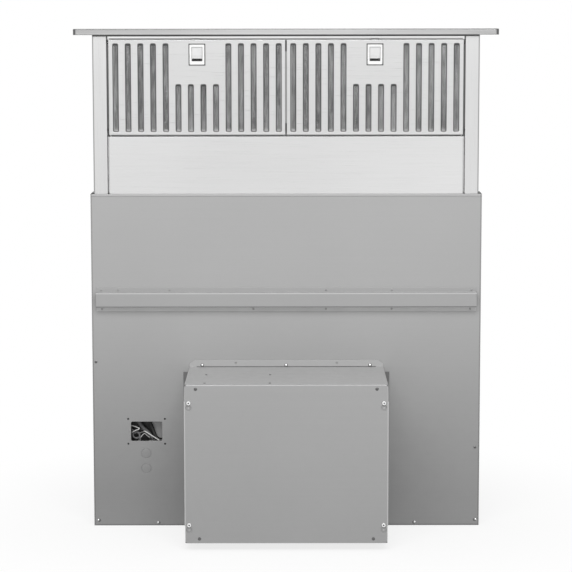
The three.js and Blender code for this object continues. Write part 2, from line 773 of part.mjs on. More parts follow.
// The cover's face bends back over the box along its top edge, with a relief notch at each corner.
function blowerCover() {
  const bendSteps = 3;
  const bend = Array.from({ length: bendSteps + 1 }, (_, i) => {
    const angle = (Math.PI / 2) * (1 + i / bendSteps);
    return [
      coverFace + COVER_BEND * (1 + Math.cos(angle)),
      BLOWER_TOP - COVER_BEND * (1 - Math.sin(angle)),
    ];
  });
  const profile = foldedStrip(
    [[coverFace + COVER_LIP, BLOWER_TOP], ...bend, [coverFace, BLOWER_BOTTOM]],
    SHEET,
  );
  const returns = [-1, 1].flatMap((side) => {
    const inner = side * (blowerHalf + FIT);
    const outer = side * (blowerHalf + FIT + SHEET);
    const [low, high] = [Math.min(inner, outer), Math.max(inner, outer)];
    const edge = [Math.min(0, outer), Math.max(0, outer)];
    return [
      box(low, high, coverFace, coverFace + COVER_RETURN, COVER_RETURN_BOTTOM, COVER_RETURN_TOP),
      box(...edge, coverFace, coverFace + SHEET, COVER_RETURN_BOTTOM, COVER_RETURN_TOP),
    ];
  });
  const fixings = [-KEYHOLE_X, KEYHOLE_X].flatMap((x) => [
    [x, KEYHOLE_TOP],
    [x, KEYHOLE_BOTTOM],
  ]);
  const notches = [-1, 1].flatMap((side) => {
    const end = side * blowerHalf;
    const across = [Math.min(end, end - side * COVER_NOTCH), Math.max(end, end - side * COVER_NOTCH)];
    const depth = [coverFace - SHEET, coverFace + COVER_LIP + SHEET];
    return [
      box(...across, ...depth, BLOWER_TOP - 2 * COVER_NOTCH, BLOWER_TOP + SHEET),
      box(...across, ...depth, BLOWER_BOTTOM - SHEET, BLOWER_BOTTOM + COVER_NOTCH),
    ];
  });
  const face = extrudeX(profile, -blowerHalf, blowerHalf);
  const sheet = cut(union([face, ...returns]), [...fixings.map((at) => keyhole(...at)), ...notches]);
  return union([sheet, ...fixings.map((at) => shoulderScrew(...at))]);
}

function ductCollar() {
  const seat = BLOWER_BOTTOM + SHEET + FIT;
  return revolve(
    [
      [DUCT_RADIUS - SHEET, BLOWER_BOTTOM - DUCT_DROP],
      [DUCT_RADIUS, BLOWER_BOTTOM - DUCT_DROP],
      [DUCT_RADIUS, seat],
      [DUCT_RADIUS + DUCT_FLANGE, seat],
      [DUCT_RADIUS + DUCT_FLANGE, seat + SHEET],
      [DUCT_RADIUS - SHEET, seat + SHEET],
    ],
    INLET_SIDES,
  );
}

addPiece(chassis, "blower_top", blowerTop(), MATERIALS.chassisSteel);
addPiece(chassis, "blower_bottom", blowerBottom(), MATERIALS.chassisSteel);
for (const [word, side] of SIDES) {
  addPiece(chassis, `blower_side_${word}`, blowerSide(side), MATERIALS.chassisSteel);
}
addPiece(chassis, "blower_cover", blowerCover(), MATERIALS.chassisSteel);
const duct = addGroup(chassis, ductX, ductY, 0);
addPiece(duct, "duct_collar", ductCollar(), MATERIALS.chassisSteel);

// ---------------------------------------------------------------------------
// Scroll housing, inlet ring, wheel and motor, about the wheel's axis
// ---------------------------------------------------------------------------
const scroll = addGroup(chassis, 0, 0, WHEEL_Z);
const outletBottom = BLOWER_BOTTOM + 2 * (SHEET + FIT) - WHEEL_Z;

// The scroll opens at a steady rate from its tongue, clockwise seen from the front, and runs
// straight down to the outlet. Inset moves every wall inwards.
function scrollOutline(inset) {
  const start = WHEEL_RADIUS + SCROLL_CLEARANCE - inset;
  const sweep = 1.5 * Math.PI;
  const steps = 24;
  const points = [];
  for (let i = 0; i <= steps; i += 1) {
    const turn = (sweep * i) / steps;
    const radius = start + (SCROLL_GROWTH * i) / steps;
    const angle = -Math.PI / 2 - turn;
    points.push(new THREE.Vector2(radius * Math.cos(angle), radius * Math.sin(angle)));
  }
  const bottom = outletBottom - (inset > 0 ? SHEET : 0);
  points.push(new THREE.Vector2(outletRight - inset, bottom));
  const tongueX = SCROLL_TONGUE_X + inset;
  points.push(new THREE.Vector2(tongueX, bottom));
  const nose = -start - TONGUE_NOSE;
  for (let i = 0; i < 5; i += 1) {
    const angle = (Math.PI / 2) * (i / 5);
    const across = tongueX * (1 - Math.sin(angle)) * 0.999;
    points.push(new THREE.Vector2(across, nose + TONGUE_NOSE * (1 - Math.cos(angle))));
  }
  return new THREE.Shape(points);
}

// Wrapper and back wall, open at the front.
function scrollHousing() {
  const back = scrollBack - SCROLL_WALL;
  const wrapFront = scrollFront + SCROLL_WALL + FIT;
  const outside = extrudeY(scrollOutline(0), wrapFront, scrollBack);
  const inside = extrudeY(scrollOutline(SCROLL_WALL), wrapFront - SCROLL_WALL, back);
  const eye = cylinderY(WHEEL_EYE, back - SCROLL_WALL, scrollBack + SCROLL_WALL, INLET_SIDES);
  return cut(outside, [inside, eye]);
}

// Closes the scroll's front and carries the motor.
function motorPlate() {
  const back = scrollFront + SCROLL_WALL;
  const plate = extrudeY(scrollOutline(0), scrollFront, back);
  return plate.subtract(cylinderY(HUB_RADIUS, scrollFront - SCROLL_WALL, back + SCROLL_WALL, 24));
}

// A square plate on the chassis opening whose bell mouth runs into the wheel's eye.
function inletRing() {
  const throatEnd = scrollBack - INLET_REACH;
  const throat = WHEEL_EYE - INLET_CLEARANCE;
  const mouthRadius = throat + INLET_FLARE;
  const steps = 4;
  const inner = [];
  const outer = [];
  for (let i = 0; i <= steps; i += 1) {
    const angle = (Math.PI / 2) * (i / steps);
    const across = Math.cos(angle);
    const along = Math.sin(angle);
    const wall = INLET_FLARE - SHEET;
    inner.push([mouthRadius - INLET_FLARE * across, -throatEnd - (boxBack - throatEnd) * along]);
    outer.push([mouthRadius - wall * across, -throatEnd - (boxBack - throatEnd - SHEET) * along]);
  }
  const rim = [
    [mouthRadius + 2 * SHEET, -boxBack],
    [mouthRadius + 2 * SHEET, -boxBack + SHEET],
  ];
  const bell = toSolid(revolve([...inner, ...rim, ...outer.reverse()], INLET_SIDES)).rotate([90, 0, 0]);
  const half = INLET_HALF + INLET_PLATE_MARGIN;
  const plate = extrudeY(roundedRect(2 * half, 2 * half, INLET_CORNER), boxBack - SHEET, boxBack);
  const hole = cylinderY(mouthRadius + SHEET, boxBack - 2 * SHEET, boxBack + SHEET, INLET_SIDES);
  return plate.subtract(hole).add(bell);
}

function bladeShape() {
  const inner = new THREE.Vector2(WHEEL_EYE, 0);
  const chord = WHEEL_RADIUS - WHEEL_EYE;
  const steps = 3;
  const face = [];
  for (let i = 0; i <= steps; i += 1) {
    const t = i / steps;
    const bow = BLADE_BOW * 4 * t * (1 - t);
    const radius = inner.x + chord * t;
    const angle = (Math.tan(BLADE_LEAN) * chord * t - bow) / radius;
    face.push([radius * Math.cos(angle), radius * Math.sin(angle)]);
  }
  const back = face.map(([x, z]) => [x, z + BLADE_THICKNESS]).reverse();
  return new THREE.Shape([...face, ...back].map(([x, z]) => new THREE.Vector2(x, z)));
}

const wheelFront = scrollFront + (SCROLL_DEPTH - WHEEL_WIDTH) / 2;
const motorBack = scrollFront - FIT;
const motorFront = motorBack - MOTOR_LENGTH;

function blowerWheel() {
  const back = wheelFront + WHEEL_WIDTH;
  const disc = cylinderY(WHEEL_RADIUS, wheelFront, wheelFront + WHEEL_PLATE, WHEEL_SIDES);
  const hub = cylinderY(HUB_RADIUS, wheelFront, wheelFront + HUB_LENGTH, 24);
  const rimOutside = cylinderY(WHEEL_RADIUS, back - WHEEL_RIM, back, WHEEL_SIDES);
  const rimInside = cylinderY(WHEEL_EYE + SHEET, back - 2 * WHEEL_RIM, back + SHEET, WHEEL_SIDES);
  const blade = extrudeY(bladeShape(), wheelFront + WHEEL_PLATE / 2, back - WHEEL_RIM / 2);
  const blades = [];
  for (let i = 0; i < BLADE_COUNT; i += 1) {
    blades.push(blade.rotate([0, (360 * i) / BLADE_COUNT, 0]));
  }
  const boreEnd = wheelFront + HUB_LENGTH + SHEET;
  const bore = cylinderY(SHAFT_RADIUS + FIT, wheelFront - SHEET, boreEnd, 20);
  return union([disc, hub, rimOutside.subtract(rimInside), ...blades]).subtract(bore);
}

function blowerMotor() {
  const canFront = motorFront + MOTOR_BELL_FRONT;
  const canBack = motorBack - MOTOR_BELL_BACK;
  const can = cylinderY(MOTOR_RADIUS, canFront, canBack, 24);
  const bells = cylinderY(MOTOR_BELL, motorFront, motorBack, 20);
  const boss = cylinderY(MOTOR_BOSS, motorFront - MOTOR_BELL_BACK, motorFront + SHEET, 12);
  const footFront = canBack - 2 * MOTOR_FOOT;
  const footAt = MOTOR_RADIUS + MOTOR_FOOT / 2;
  const foot = union([
    cylinderY(MOTOR_FOOT, footFront, motorBack, 6).translate(footAt, 0, 0),
    box(MOTOR_BELL, footAt, footFront, canBack, -MOTOR_FOOT, MOTOR_FOOT),
  ]);
  const feet = [0, 120, 240].map((turn) => foot.rotate([0, turn, 0]));
  const bore = cylinderY(SHAFT_RADIUS + FIT, motorBack - SHAFT_IN_MOTOR - SHEET, motorBack + SHEET, 20);
  return union([can, bells, boss, ...feet]).subtract(bore);
}

addPiece(scroll, "scroll_housing", scrollHousing(), MATERIALS.chassisSteel);
addPiece(scroll, "motor_plate", motorPlate(), MATERIALS.chassisSteel);
addPiece(scroll, "inlet_ring", inletRing(), MATERIALS.chassisSteel);
addPiece(scroll, "blower_motor", blowerMotor(), MATERIALS.castAlloy);
addPiece(scroll, "blower_wheel", blowerWheel(), MATERIALS.chassisSteel);
addPiece(
  scroll,
  "blower_shaft",
  cylinderY(SHAFT_RADIUS, motorBack - SHAFT_IN_MOTOR, wheelFront + HUB_LENGTH - SHEET, 20),
  MATERIALS.screwSteel,
);

// The run capacitor stands against the blower box's left wall.
function runCapacitor() {
  const r = CAPACITOR_RADIUS;
  const bevel = CAPACITOR_BEVEL;
  const [width, thickness, height] = TERMINAL;
  const top = CAPACITOR_HEIGHT;
  const profile = [
    [0, 0],
    [r - bevel, 0],
    [r, bevel],
    [r, top - bevel],
    [r - bevel, top],
    [0, top],
  ];
  const terminals = [-width, width].map((x) =>
    box(x - width / 2, x + width / 2, -thickness / 2, thickness / 2, top - SHEET, top + height),
  );
  return union([toSolid(revolve(profile, 16)), ...terminals]);
}

const capacitorPlace = addGroup(
  chassis,
  -blowerHalf + SHEET + FIT + CAPACITOR_RADIUS,
  motorFront + CAPACITOR_RADIUS,
  CAPACITOR_Z,
);
addPiece(capacitorPlace, "run_capacitor", runCapacitor(), MATERIALS.castAlloy);

// ---------------------------------------------------------------------------
// Lift: gearmotor, two belts and two lead screws
// ---------------------------------------------------------------------------
const bearingBottom = PAN_SHEET + FIT;
const bearingTop = bearingBottom + BEARING_HEIGHT;
const pulleyBottom = bearingTop + PULLEY_GAP;
const drumHeight = BELT_WIDTH + 2 * BELT_CLEARANCE;
const tier = drumHeight + PULLEY_FLANGE_THICKNESS;
const beltInside = PULLEY_RADIUS + FIT;
const motorX = screwX - LIFT_MOTOR_OFFSET;
const motorPulleyBottom = pulleyBottom + tier;
const bracketBottom = motorPulleyBottom + tier + PULLEY_FLANGE_THICKNESS + PULLEY_GAP;
const gearboxBottom = bracketBottom + STAINLESS + FIT;

function groovedDrum(z0, z1) {
  const points = [];
  const floor = PULLEY_RADIUS - PULLEY_GROOVE_DEPTH;
  for (let i = 0; i < PULLEY_GROOVES; i += 1) {
    const start = (2 * Math.PI * i) / PULLEY_GROOVES;
    for (const [share, radius] of [
      [0, PULLEY_RADIUS],
      [0.5, PULLEY_RADIUS],
      [0.6, floor],
      [0.9, floor],
    ]) {
      const angle = start + (share * 2 * Math.PI) / PULLEY_GROOVES;
      points.push(new THREE.Vector2(radius * Math.cos(angle), radius * Math.sin(angle)));
    }
  }
  return extrudeZ(new THREE.Shape(points), z0, z1);
}

// A toothed pulley with a flange under, between and over its tiers.
function pulley(bottom, tiers, boreRadius) {
  const flangeRadius = PULLEY_RADIUS + PULLEY_FLANGE;
  const pieces = [groovedDrum(bottom, bottom + tiers * tier)];
  for (let i = 0; i <= tiers; i += 1) {
    const z = bottom + i * tier;
    pieces.push(cylinderZ(flangeRadius, z, z + PULLEY_FLANGE_THICKNESS, 16));
  }
  const top = bottom + tiers * tier + PULLEY_FLANGE_THICKNESS;
  return union(pieces).subtract(cylinderZ(boreRadius, bottom - 1, top + 1, 12));
}

// A belt round two pulleys whose axes stand at x0 and x1.
function belt(x0, x1, bottom) {
  const loop = (path, radius) => {
    path.absarc(x1, 0, radius, -Math.PI / 2, Math.PI / 2);
    path.absarc(x0, 0, radius, Math.PI / 2, 1.5 * Math.PI);
    return path;
  };
  const outline = loop(new THREE.Shape(), beltInside + BELT_THICKNESS);
  outline.holes.push(loop(new THREE.Path(), beltInside));
  return extrudeZ(outline, bottom, bottom + BELT_WIDTH, { curveSegments: 7 });
}

function screwBearing() {
  const block = extrudeZ(roundedRect(BEARING_WIDTH, BEARING_DEPTH, 4), bearingBottom, bearingTop);
  const floor = bearingBottom + SHEET;
  return block.subtract(cylinderZ(SCREW_RADIUS + FIT, floor, bearingTop + SHEET));
}

function leadScrew() {
  const bottom = bearingBottom + SHEET + FIT;
  const top = riserBottom + NUT_HEIGHT + SCREW_TOP_SPARE;
  const tip = 2;
  const profile = [
    [0, bottom],
    [SCREW_RADIUS, bottom],
    [SCREW_RADIUS, top - tip],
    [SCREW_RADIUS - tip, top],
    [0, top],
  ];
  return toSolid(revolve(profile, 20));
}

for (const [word, side] of SIDES) {
  const axis = addGroup(chassis, side * screwX, 0, 0);
  addPiece(axis, `screw_bearing_${word}`, screwBearing(), MATERIALS.castAlloy);
  addPiece(axis, `lead_screw_${word}`, leadScrew(), MATERIALS.screwSteel);
  const tiers = side > 0 ? 2 : 1;
  addPiece(
    axis,
    `screw_pulley_${word}`,
    pulley(pulleyBottom, tiers, SCREW_RADIUS + FIT),
    MATERIALS.castAlloy,
  );
}

const beltBottom = pulleyBottom + PULLEY_FLANGE_THICKNESS + BELT_CLEARANCE;
addPiece(chassis, "sync_belt", belt(-screwX, screwX, beltBottom), MATERIALS.blackRubber);
addPiece(chassis, "motor_belt", belt(motorX, screwX, beltBottom + tier), MATERIALS.blackRubber);

const liftDrive = addGroup(chassis, motorX, 0, 0);

function motorBracket() {
  const back = backInside - FIT;
  const half = LIFT_GEARBOX / 2 + 2;
  const shelf = box(-half, half, -half, back, bracketBottom, bracketBottom + STAINLESS);
  const hanger = box(-half, half, back - STAINLESS, back, bracketBottom, bracketBottom + LIFT_GEARBOX);
  const shaftHole = cylinderZ(2 * LIFT_SHAFT, bracketBottom - SHEET, bracketBottom + 2 * SHEET, 24);
  return cut(union([shelf, hanger]), [shaftHole]);
}

function liftMotor() {
  const half = LIFT_GEARBOX / 2;
  const depth = 2 * (LIFT_MOTOR_RADIUS + SHEET);
  const gearboxTop = gearboxBottom + LIFT_GEARBOX_HEIGHT;
  const gearbox = extrudeZ(roundedRect(2 * half, depth, 5), gearboxBottom, gearboxTop);
  const canTop = gearboxTop + LIFT_MOTOR_HEIGHT;
  const can = cylinderZ(LIFT_MOTOR_RADIUS, gearboxTop - SHEET, canTop, 20);
  const cap = cylinderZ(LIFT_MOTOR_RADIUS / 2, canTop - SHEET, canTop + 4, 12);
  const boreTop = gearboxBottom + LIFT_SHAFT_DEPTH + SHEET;
  const bore = cylinderZ(LIFT_SHAFT + FIT, gearboxBottom - SHEET, boreTop, 20);
  return union([gearbox, can, cap]).subtract(bore);
}

addPiece(liftDrive, "motor_bracket", motorBracket(), MATERIALS.chassisSteel);
addPiece(liftDrive, "lift_motor", liftMotor(), MATERIALS.castAlloy);
addPiece(
  liftDrive,
  "motor_pulley",
  pulley(motorPulleyBottom, 1, LIFT_SHAFT - SHEET).add(
    cylinderZ(LIFT_SHAFT, motorPulleyBottom, gearboxBottom + LIFT_SHAFT_DEPTH, 20),
  ),
  MATERIALS.castAlloy,
);

function controlModule() {
  const back = backInside - FIT;
  const front = back - CONTROL_DEPTH;
  const rim = 2 * CONTROL_RIM;
  const shell = extrudeY(roundedRect(CONTROL_WIDTH, CONTROL_HEIGHT, CONTROL_RIM), front, back);
  const lid = extrudeY(
    roundedRect(CONTROL_WIDTH - rim, CONTROL_HEIGHT - rim, CONTROL_RIM - SHEET),
    front - 2 * SHEET,
    back - SHEET,
  );
  return shell.add(lid);
}

const controlPlace = addGroup(chassis, CONTROL_X, 0, CONTROL_Z);
addPiece(controlPlace, "control_module", controlModule(), MATERIALS.darkPlastic);

// ---------------------------------------------------------------------------
// Riser: cap, frame, panels, lift nuts and lower glides
// ---------------------------------------------------------------------------
const capWidth = CHASSIS_WIDTH + 2 * CAP_OVERHANG;
const panelHalf = columnInside - FILTER_SIDE_GAP;

function cap() {
  const top = riserHeight + CAP_THICKNESS;
  const start = riserHeight - CAP_THICKNESS;
  const edge = CAP_EDGE;
  const outline = roundedRect(capWidth - 2 * edge, CAP_DEPTH - 2 * edge, CAP_CORNER - edge);
  const block = toSolid(
    extruded(outline, top - start - 2 * edge, {
      bevelEnabled: true,
      bevelThickness: edge,
      bevelSize: edge,
      bevelSegments: 2,
      curveSegments: 4,
    }).translate(0, 0, start + edge),
  );
  const below = box(-capWidth, capWidth, -CAP_DEPTH, CAP_DEPTH, start - edge, riserHeight);
  const inner = roundedRect(capWidth - 2 * STAINLESS, CAP_DEPTH - 2 * STAINLESS, CAP_CORNER - STAINLESS);
  const pocket = extrudeZ(inner, riserHeight + STAINLESS, top - STAINLESS, { curveSegments: 4 });
  const mouthInset = 2 * (STAINLESS + CAP_LIP);
  const opening = roundedRect(capWidth - mouthInset, CAP_DEPTH - mouthInset, 1);
  const way = extrudeZ(opening, riserHeight - SHEET, riserHeight + 2 * STAINLESS);
  return cut(block, [below, pocket, way]);
}

function capBase() {
  const inset = 2 * (STAINLESS + CAP_LIP + FIT);
  const plate = roundedRect(capWidth - inset, CAP_DEPTH - inset, 1);
  return extrudeZ(plate, riserHeight, riserHeight + STAINLESS);
}

function capGasket() {
  const outline = roundedRect(2 * riserHalf, RISER_DEPTH, 1);
  outline.holes.push(roundedRect(2 * (riserHalf - GASKET_WALL), RISER_DEPTH - 2 * GASKET_WALL, 1));
  return extrudeZ(outline, columnTop + FIT, columnTop + FIT + GASKET_HEIGHT);
}

function headerRail() {
  const lipBottom = columnTop - HEADER_HEIGHT;
  const stripFace = riserFront + KEEPER_BACK;
  const stripBottom = filterTop + 2 * FIT;
  const profile = foldedStrip(
    [
      [riserBack, columnTop - HEADER_BACK_FLANGE],
      [riserBack, columnTop],
      [riserFront, columnTop],
      [riserFront, lipBottom],
      [stripFace, lipBottom],
      [stripFace, stripBottom],
    ],
    SHEET,
  );
  const rail = extrudeX(profile, -columnInside + FIT, columnInside - FIT);
  const notches = SIDES.map(([, side]) =>
    box(
      side * panelX - TONGUE_WIDTH,
      side * panelX + TONGUE_WIDTH,
      riserFront - SHEET,
      riserFront + HINGE_BACK + 2 * SHEET,
      stripBottom - SHEET,
      lipBottom,
    ),
  );
  return cut(rail, notches);
}

function column() {
  const outline = roundedRect(COLUMN_WIDTH, RISER_DEPTH, 1.5);
  const wall = 2 * STAINLESS;
  outline.holes.push(roundedRect(COLUMN_WIDTH - wall, RISER_DEPTH - wall, 0.5));
  return extrudeZ(outline, 0, columnTop);
}

function riserFrontPanel() {
  const flangeEnd = columnInside - FIT;
  const flangeY = riserFront + PANEL_RETURN;
  const profile = foldedStrip(
    [
      [-flangeEnd, flangeY],
      [-panelHalf, flangeY],
      [-panelHalf, riserFront],
      [panelHalf, riserFront],
      [panelHalf, flangeY],
      [flangeEnd, flangeY],
    ],
    STAINLESS,
  );
  return extrudeZ(profile, 0, lowerPanelTop);
}

function riserBackPanel() {
  const half = columnInside - FIT;
  const profile = foldedStrip(
    [
      [half, riserBack - PANEL_RETURN],
      [half, riserBack],
      [-half, riserBack],
      [-half, riserBack - PANEL_RETURN],
    ],
    STAINLESS,
  );
  return extrudeZ(profile, 0, columnTop - HEADER_BACK_FLANGE - FIT);
}

function riserSill() {
  const half = panelHalf - STAINLESS - FIT;
  const inset = STAINLESS + FIT;
  const depth = RISER_DEPTH - 2 * inset;
  const outline = roundedRect(2 * half, depth, 1);
  outline.holes.push(roundedRect(2 * (half - STAINLESS), depth - 2 * STAINLESS, 1));
  return extrudeZ(outline, 0, SILL_HEIGHT);
}

function filterLedge() {
  const front = riserFront + STAINLESS + FIT;
  const back = hingeY + LEDGE_BACK;
  const length = panelHalf - STAINLESS - FIT;
  const profile = foldedStrip(
    [
      [back, lowerPanelTop - SILL_HEIGHT],
      [back, lowerPanelTop],
      [front, lowerPanelTop],
      [front, lowerPanelTop - SILL_HEIGHT],
    ],
    STAINLESS,
  );
  const pieces = [extrudeX(profile, -length, length)];
  for (const [, panelSide] of SIDES) {
    for (const end of [-1, 1]) {
      const face = panelWidth / 2 - STAINLESS - EAR_GAP;
      const neck = box(
        face - EAR_THICKNESS,
        face,
        hingeY,
        hingeY + 2 * HINGE_PIN,
        lowerPanelTop - STAINLESS / 2,
        hingeZ,
      );
      const eye = cylinderX(2 * HINGE_PIN, face - EAR_THICKNESS, face).translate(0, hingeY, hingeZ);
      const pin = cylinderX(HINGE_PIN, face - SHEET, panelWidth / 2 - FIT).translate(0, hingeY, hingeZ);
      pieces.push(mirrored(union([neck, eye, pin]), end).translate(panelSide * panelX, 0, 0));
    }
  }
  return union(pieces);
}

function liftNut() {
  const wall = 2 * (STAINLESS + FIT);
  const block = extrudeZ(roundedRect(COLUMN_WIDTH - wall, RISER_DEPTH - wall, 1), 0, NUT_HEIGHT);
  return block.subtract(cylinderZ(SCREW_RADIUS + FIT, -SHEET, NUT_HEIGHT + SHEET));
}

function lowerGlide(side) {
  const inner = riserHalf + FIT;
  const outer = sideInside - FIT;
  const half = backInside - 2 * FIT - SHEET;
  const arm = riserHalf - COLUMN_WIDTH / 2;
  const shoe = new THREE.Shape(
    [
      [arm, -half],
      [outer, -half],
      [outer, half],
      [arm, half],
      [arm, riserBack + FIT],
      [inner, riserBack + FIT],
      [inner, riserFront - FIT],
      [arm, riserFront - FIT],
    ].map(([x, y]) => new THREE.Vector2(x, y)),
  );
  return mirrored(extrudeZ(shoe, 0, GLIDE_HEIGHT), side);
}

addPiece(riser, "cap", cap(), MATERIALS.stainless);
addPiece(riser, "cap_base", capBase(), MATERIALS.stainless);
addPiece(riser, "cap_gasket", capGasket(), MATERIALS.blackRubber);
addPiece(riser, "header_rail", headerRail(), MATERIALS.stainless);
addPiece(riser, "riser_front_panel", riserFrontPanel(), MATERIALS.stainless);
addPiece(riser, "riser_back_panel", riserBackPanel(), MATERIALS.stainless);
addPiece(riser, "riser_sill", riserSill(), MATERIALS.chassisSteel);
addPiece(riser, "filter_ledge", filterLedge(), MATERIALS.stainless);
for (const [word, side] of SIDES) {
  const columnPlace = addGroup(riser, side * screwX, 0, 0);
  addPiece(columnPlace, `column_${word}`, column(), MATERIALS.stainless);
  addPiece(columnPlace, `lift_nut_${word}`, liftNut(), MATERIALS.brass);
  addPiece(riser, `lower_glide_${word}`, lowerGlide(side), MATERIALS.blackNylon);
}

// ---------------------------------------------------------------------------
// Filter panels, each about its hinge axis: X across, Y back, Z up
// ---------------------------------------------------------------------------
const panelHalfWidth = panelWidth / 2;
const panelBottom = -HINGE_UP;
const panelTop = FILTER_HEIGHT - HINGE_UP;
const bezelTop = panelTop - BEZEL_TOP_MARGIN;
const bezelBottom = bezelTop - BEZEL_HEIGHT;
const windowTop = bezelTop - WINDOW_TOP_MARGIN;
const windowBottom = windowTop - WINDOW_HEIGHT;
const latchShelf = windowBottom - SPRING_ROOM;
const collarWall = 1.8;
const bezelFront = -HINGE_BACK - FIT - BEZEL_FLANGE;
const plateBackY = -FIT / 2;
const plateFrontY = plateBackY - TONGUE_THICKNESS;

function slotCentres() {
  const pitch = (panelWidth - 2 * SLOT_MARGIN_X) / SLOT_COUNT;
  return Array.from({ length: SLOT_COUNT }, (_, i) => (i - (SLOT_COUNT - 1) / 2) * pitch);
}

function isShort(index) {
  return Math.abs(index - (SLOT_COUNT - 1) / 2) < SHORT_SLOTS / 2;
}

function filterCover() {
  const front = -HINGE_BACK;
  const back = front + PANEL_RETURN;
  const corner = 1.5;
  const face = roundedRect(panelWidth, FILTER_HEIGHT, corner, 0, (panelTop + panelBottom) / 2);
  const slotBottom = panelBottom + SLOT_MARGIN_BOTTOM;
  const longHeight = FILTER_HEIGHT - SLOT_MARGIN_BOTTOM - SLOT_MARGIN_TOP;
  slotCentres().forEach((x, i) => {
    const height = isShort(i) ? SHORT_SLOT_HEIGHT : longHeight;
    face.holes.push(roundedRect(SLOT_WIDTH, height, SLOT_CORNER, x, slotBottom + height / 2));
  });
  const collarOutside = WINDOW_WIDTH + 2 * (collarWall + FIT);
  const collarHeight = WINDOW_HEIGHT + 2 * (collarWall + FIT);
  face.holes.push(
    roundedRect(collarOutside, collarHeight, 1, 0, (windowTop + windowBottom) / 2),
  );
  const sheet = extrudeY(face, front, front + STAINLESS);
  const inside = panelHalfWidth - STAINLESS;
  const earRelief = EAR_GAP + EAR_THICKNESS + EAR_ROOM;
  const returns = [
    box(-panelHalfWidth, -inside, front, back, panelBottom + corner, panelTop - corner),
    box(inside, panelHalfWidth, front, back, panelBottom + corner, panelTop - corner),
    box(-panelHalfWidth + corner, panelHalfWidth - corner, front, back, panelTop - STAINLESS, panelTop),
    box(-inside + earRelief, inside - earRelief, front, back, panelBottom, panelBottom + STAINLESS),
  ];
  const tongueNotch = box(
    -TONGUE_WIDTH / 2 - FIT - SHEET,
    TONGUE_WIDTH / 2 + FIT + SHEET,
    plateFrontY - SHEET,
    plateBackY + SHEET,
    panelTop - 2 * STAINLESS,
    panelTop + SHEET,
  );
  const pinHole = cylinderX(HINGE_PIN + FIT, -panelWidth, panelWidth);
  return cut(union([sheet, ...returns]), [tongueNotch, pinHole]);
}

function greaseFilter() {
  const half = panelHalfWidth - STAINLESS - EAR_GAP - EAR_THICKNESS - EAR_ROOM;
  const notch = SLOT_WIDTH / 2 + (SHORT_SLOTS * panelWidth) / SLOT_COUNT / 2 - NOTCH_INSET;
  const low = panelBottom + STAINLESS + FIT;
  const high = panelTop - STAINLESS - FIT;
  const shortSlotTop = panelBottom + SLOT_MARGIN_BOTTOM + SHORT_SLOT_HEIGHT;
  const notchFloor = Math.min(shortSlotTop + NOTCH_RAIL, latchShelf - STAINLESS - FIT);
  const front = -HINGE_BACK + STAINLESS + FIT;
  // U-shaped, so that it clears the latch; inset leaves the frame's width all round.
  const outline = (inset, sill) =>
    new THREE.Shape(
      [
        [-half + inset, low + sill],
        [half - inset, low + sill],
        [half - inset, high - inset],
        [notch + inset, high - inset],
        [notch + inset, notchFloor - inset],
        [-notch - inset, notchFloor - inset],
        [-notch - inset, high - inset],
        [-half + inset, high - inset],
      ].map(([x, z]) => new THREE.Vector2(x, z)),
    );
  const back = front + FILTER_THICKNESS;
  const meshFront = front + FILTER_RECESS;
  const recess = outline(FILTER_FRAME, FILTER_SILL);
  return cut(extrudeY(outline(0, 0), front, back), [
    extrudeY(recess, front - SHEET, meshFront),
    extrudeY(recess, meshFront + FILTER_CORE, back + SHEET),
  ]);
}

function latchBezel() {
  const middle = (windowTop + windowBottom) / 2;
  const corner = 2.5;
  const flangeShape = roundedRect(
    BEZEL_WIDTH,
    BEZEL_HEIGHT,
    corner,
    0,
    (bezelTop + bezelBottom) / 2,
  );
  const flange = extrudeY(flangeShape, bezelFront, bezelFront + BEZEL_FLANGE);
  const collarShape = roundedRect(
    WINDOW_WIDTH + 2 * collarWall,
    WINDOW_HEIGHT + 2 * collarWall,
    1,
    0,
    middle,
  );
  const collarBack = plateFrontY - FIT;
  const collar = extrudeY(collarShape, bezelFront, collarBack);
  const window = box(
    -WINDOW_WIDTH / 2,
    WINDOW_WIDTH / 2,
    bezelFront - SHEET,
    collarBack + SHEET,
    windowBottom,
    windowTop,
  );
  const hangerFront = -HINGE_BACK + STAINLESS + FIT;
  const hanger = box(
    -SPRING_SEAT,
    SPRING_SEAT,
    hangerFront,
    hangerFront + SHEET,
    latchShelf - STAINLESS,
    windowBottom - SHEET / 2,
  );
  const shelf = box(
    -SPRING_SEAT,
    SPRING_SEAT,
    hangerFront,
    SPRING_SEAT,
    latchShelf - STAINLESS,
    latchShelf,
  );
  return union([flange, collar, hanger, shelf]).subtract(window);
}

const sliderBottom = windowBottom - PLATE_TAIL;

function latchSlider() {
  const half = WINDOW_WIDTH / 2 - FIT;
  const faceTop = windowTop - FIT;
  const faceBottom = windowBottom + LATCH_TRAVEL + FIT;
  const face = box(-half, half, bezelFront + SLIDER_RECESS, plateBackY, faceBottom, faceTop);
  const plate = box(
    -TONGUE_WIDTH / 2,
    TONGUE_WIDTH / 2,
    plateFrontY,
    plateBackY,
    sliderBottom,
    panelTop + FILTER_TOP_GAP - FIT,
  );
  const ridges = [1, 2, 3].map((i) => {
    const z = faceBottom + 2 * i + 1;
    return box(-half, half, bezelFront + SLIDER_RECESS - FIT, bezelFront + 2 * SLIDER_RECESS, z, z + 1);
  });
  return union([face, plate, ...ridges]);
}

class Helix extends THREE.Curve {
  constructor(radius, bottom, top, turns) {
    super();
    Object.assign(this, { radius, bottom, top, turns });
  }

  getPoint(t, target = new THREE.Vector3()) {
    const angle = 2 * Math.PI * this.turns * t;
    const z = this.bottom + (this.top - this.bottom) * t;
    return target.set(this.radius * Math.cos(angle), this.radius * Math.sin(angle), z);
  }
}

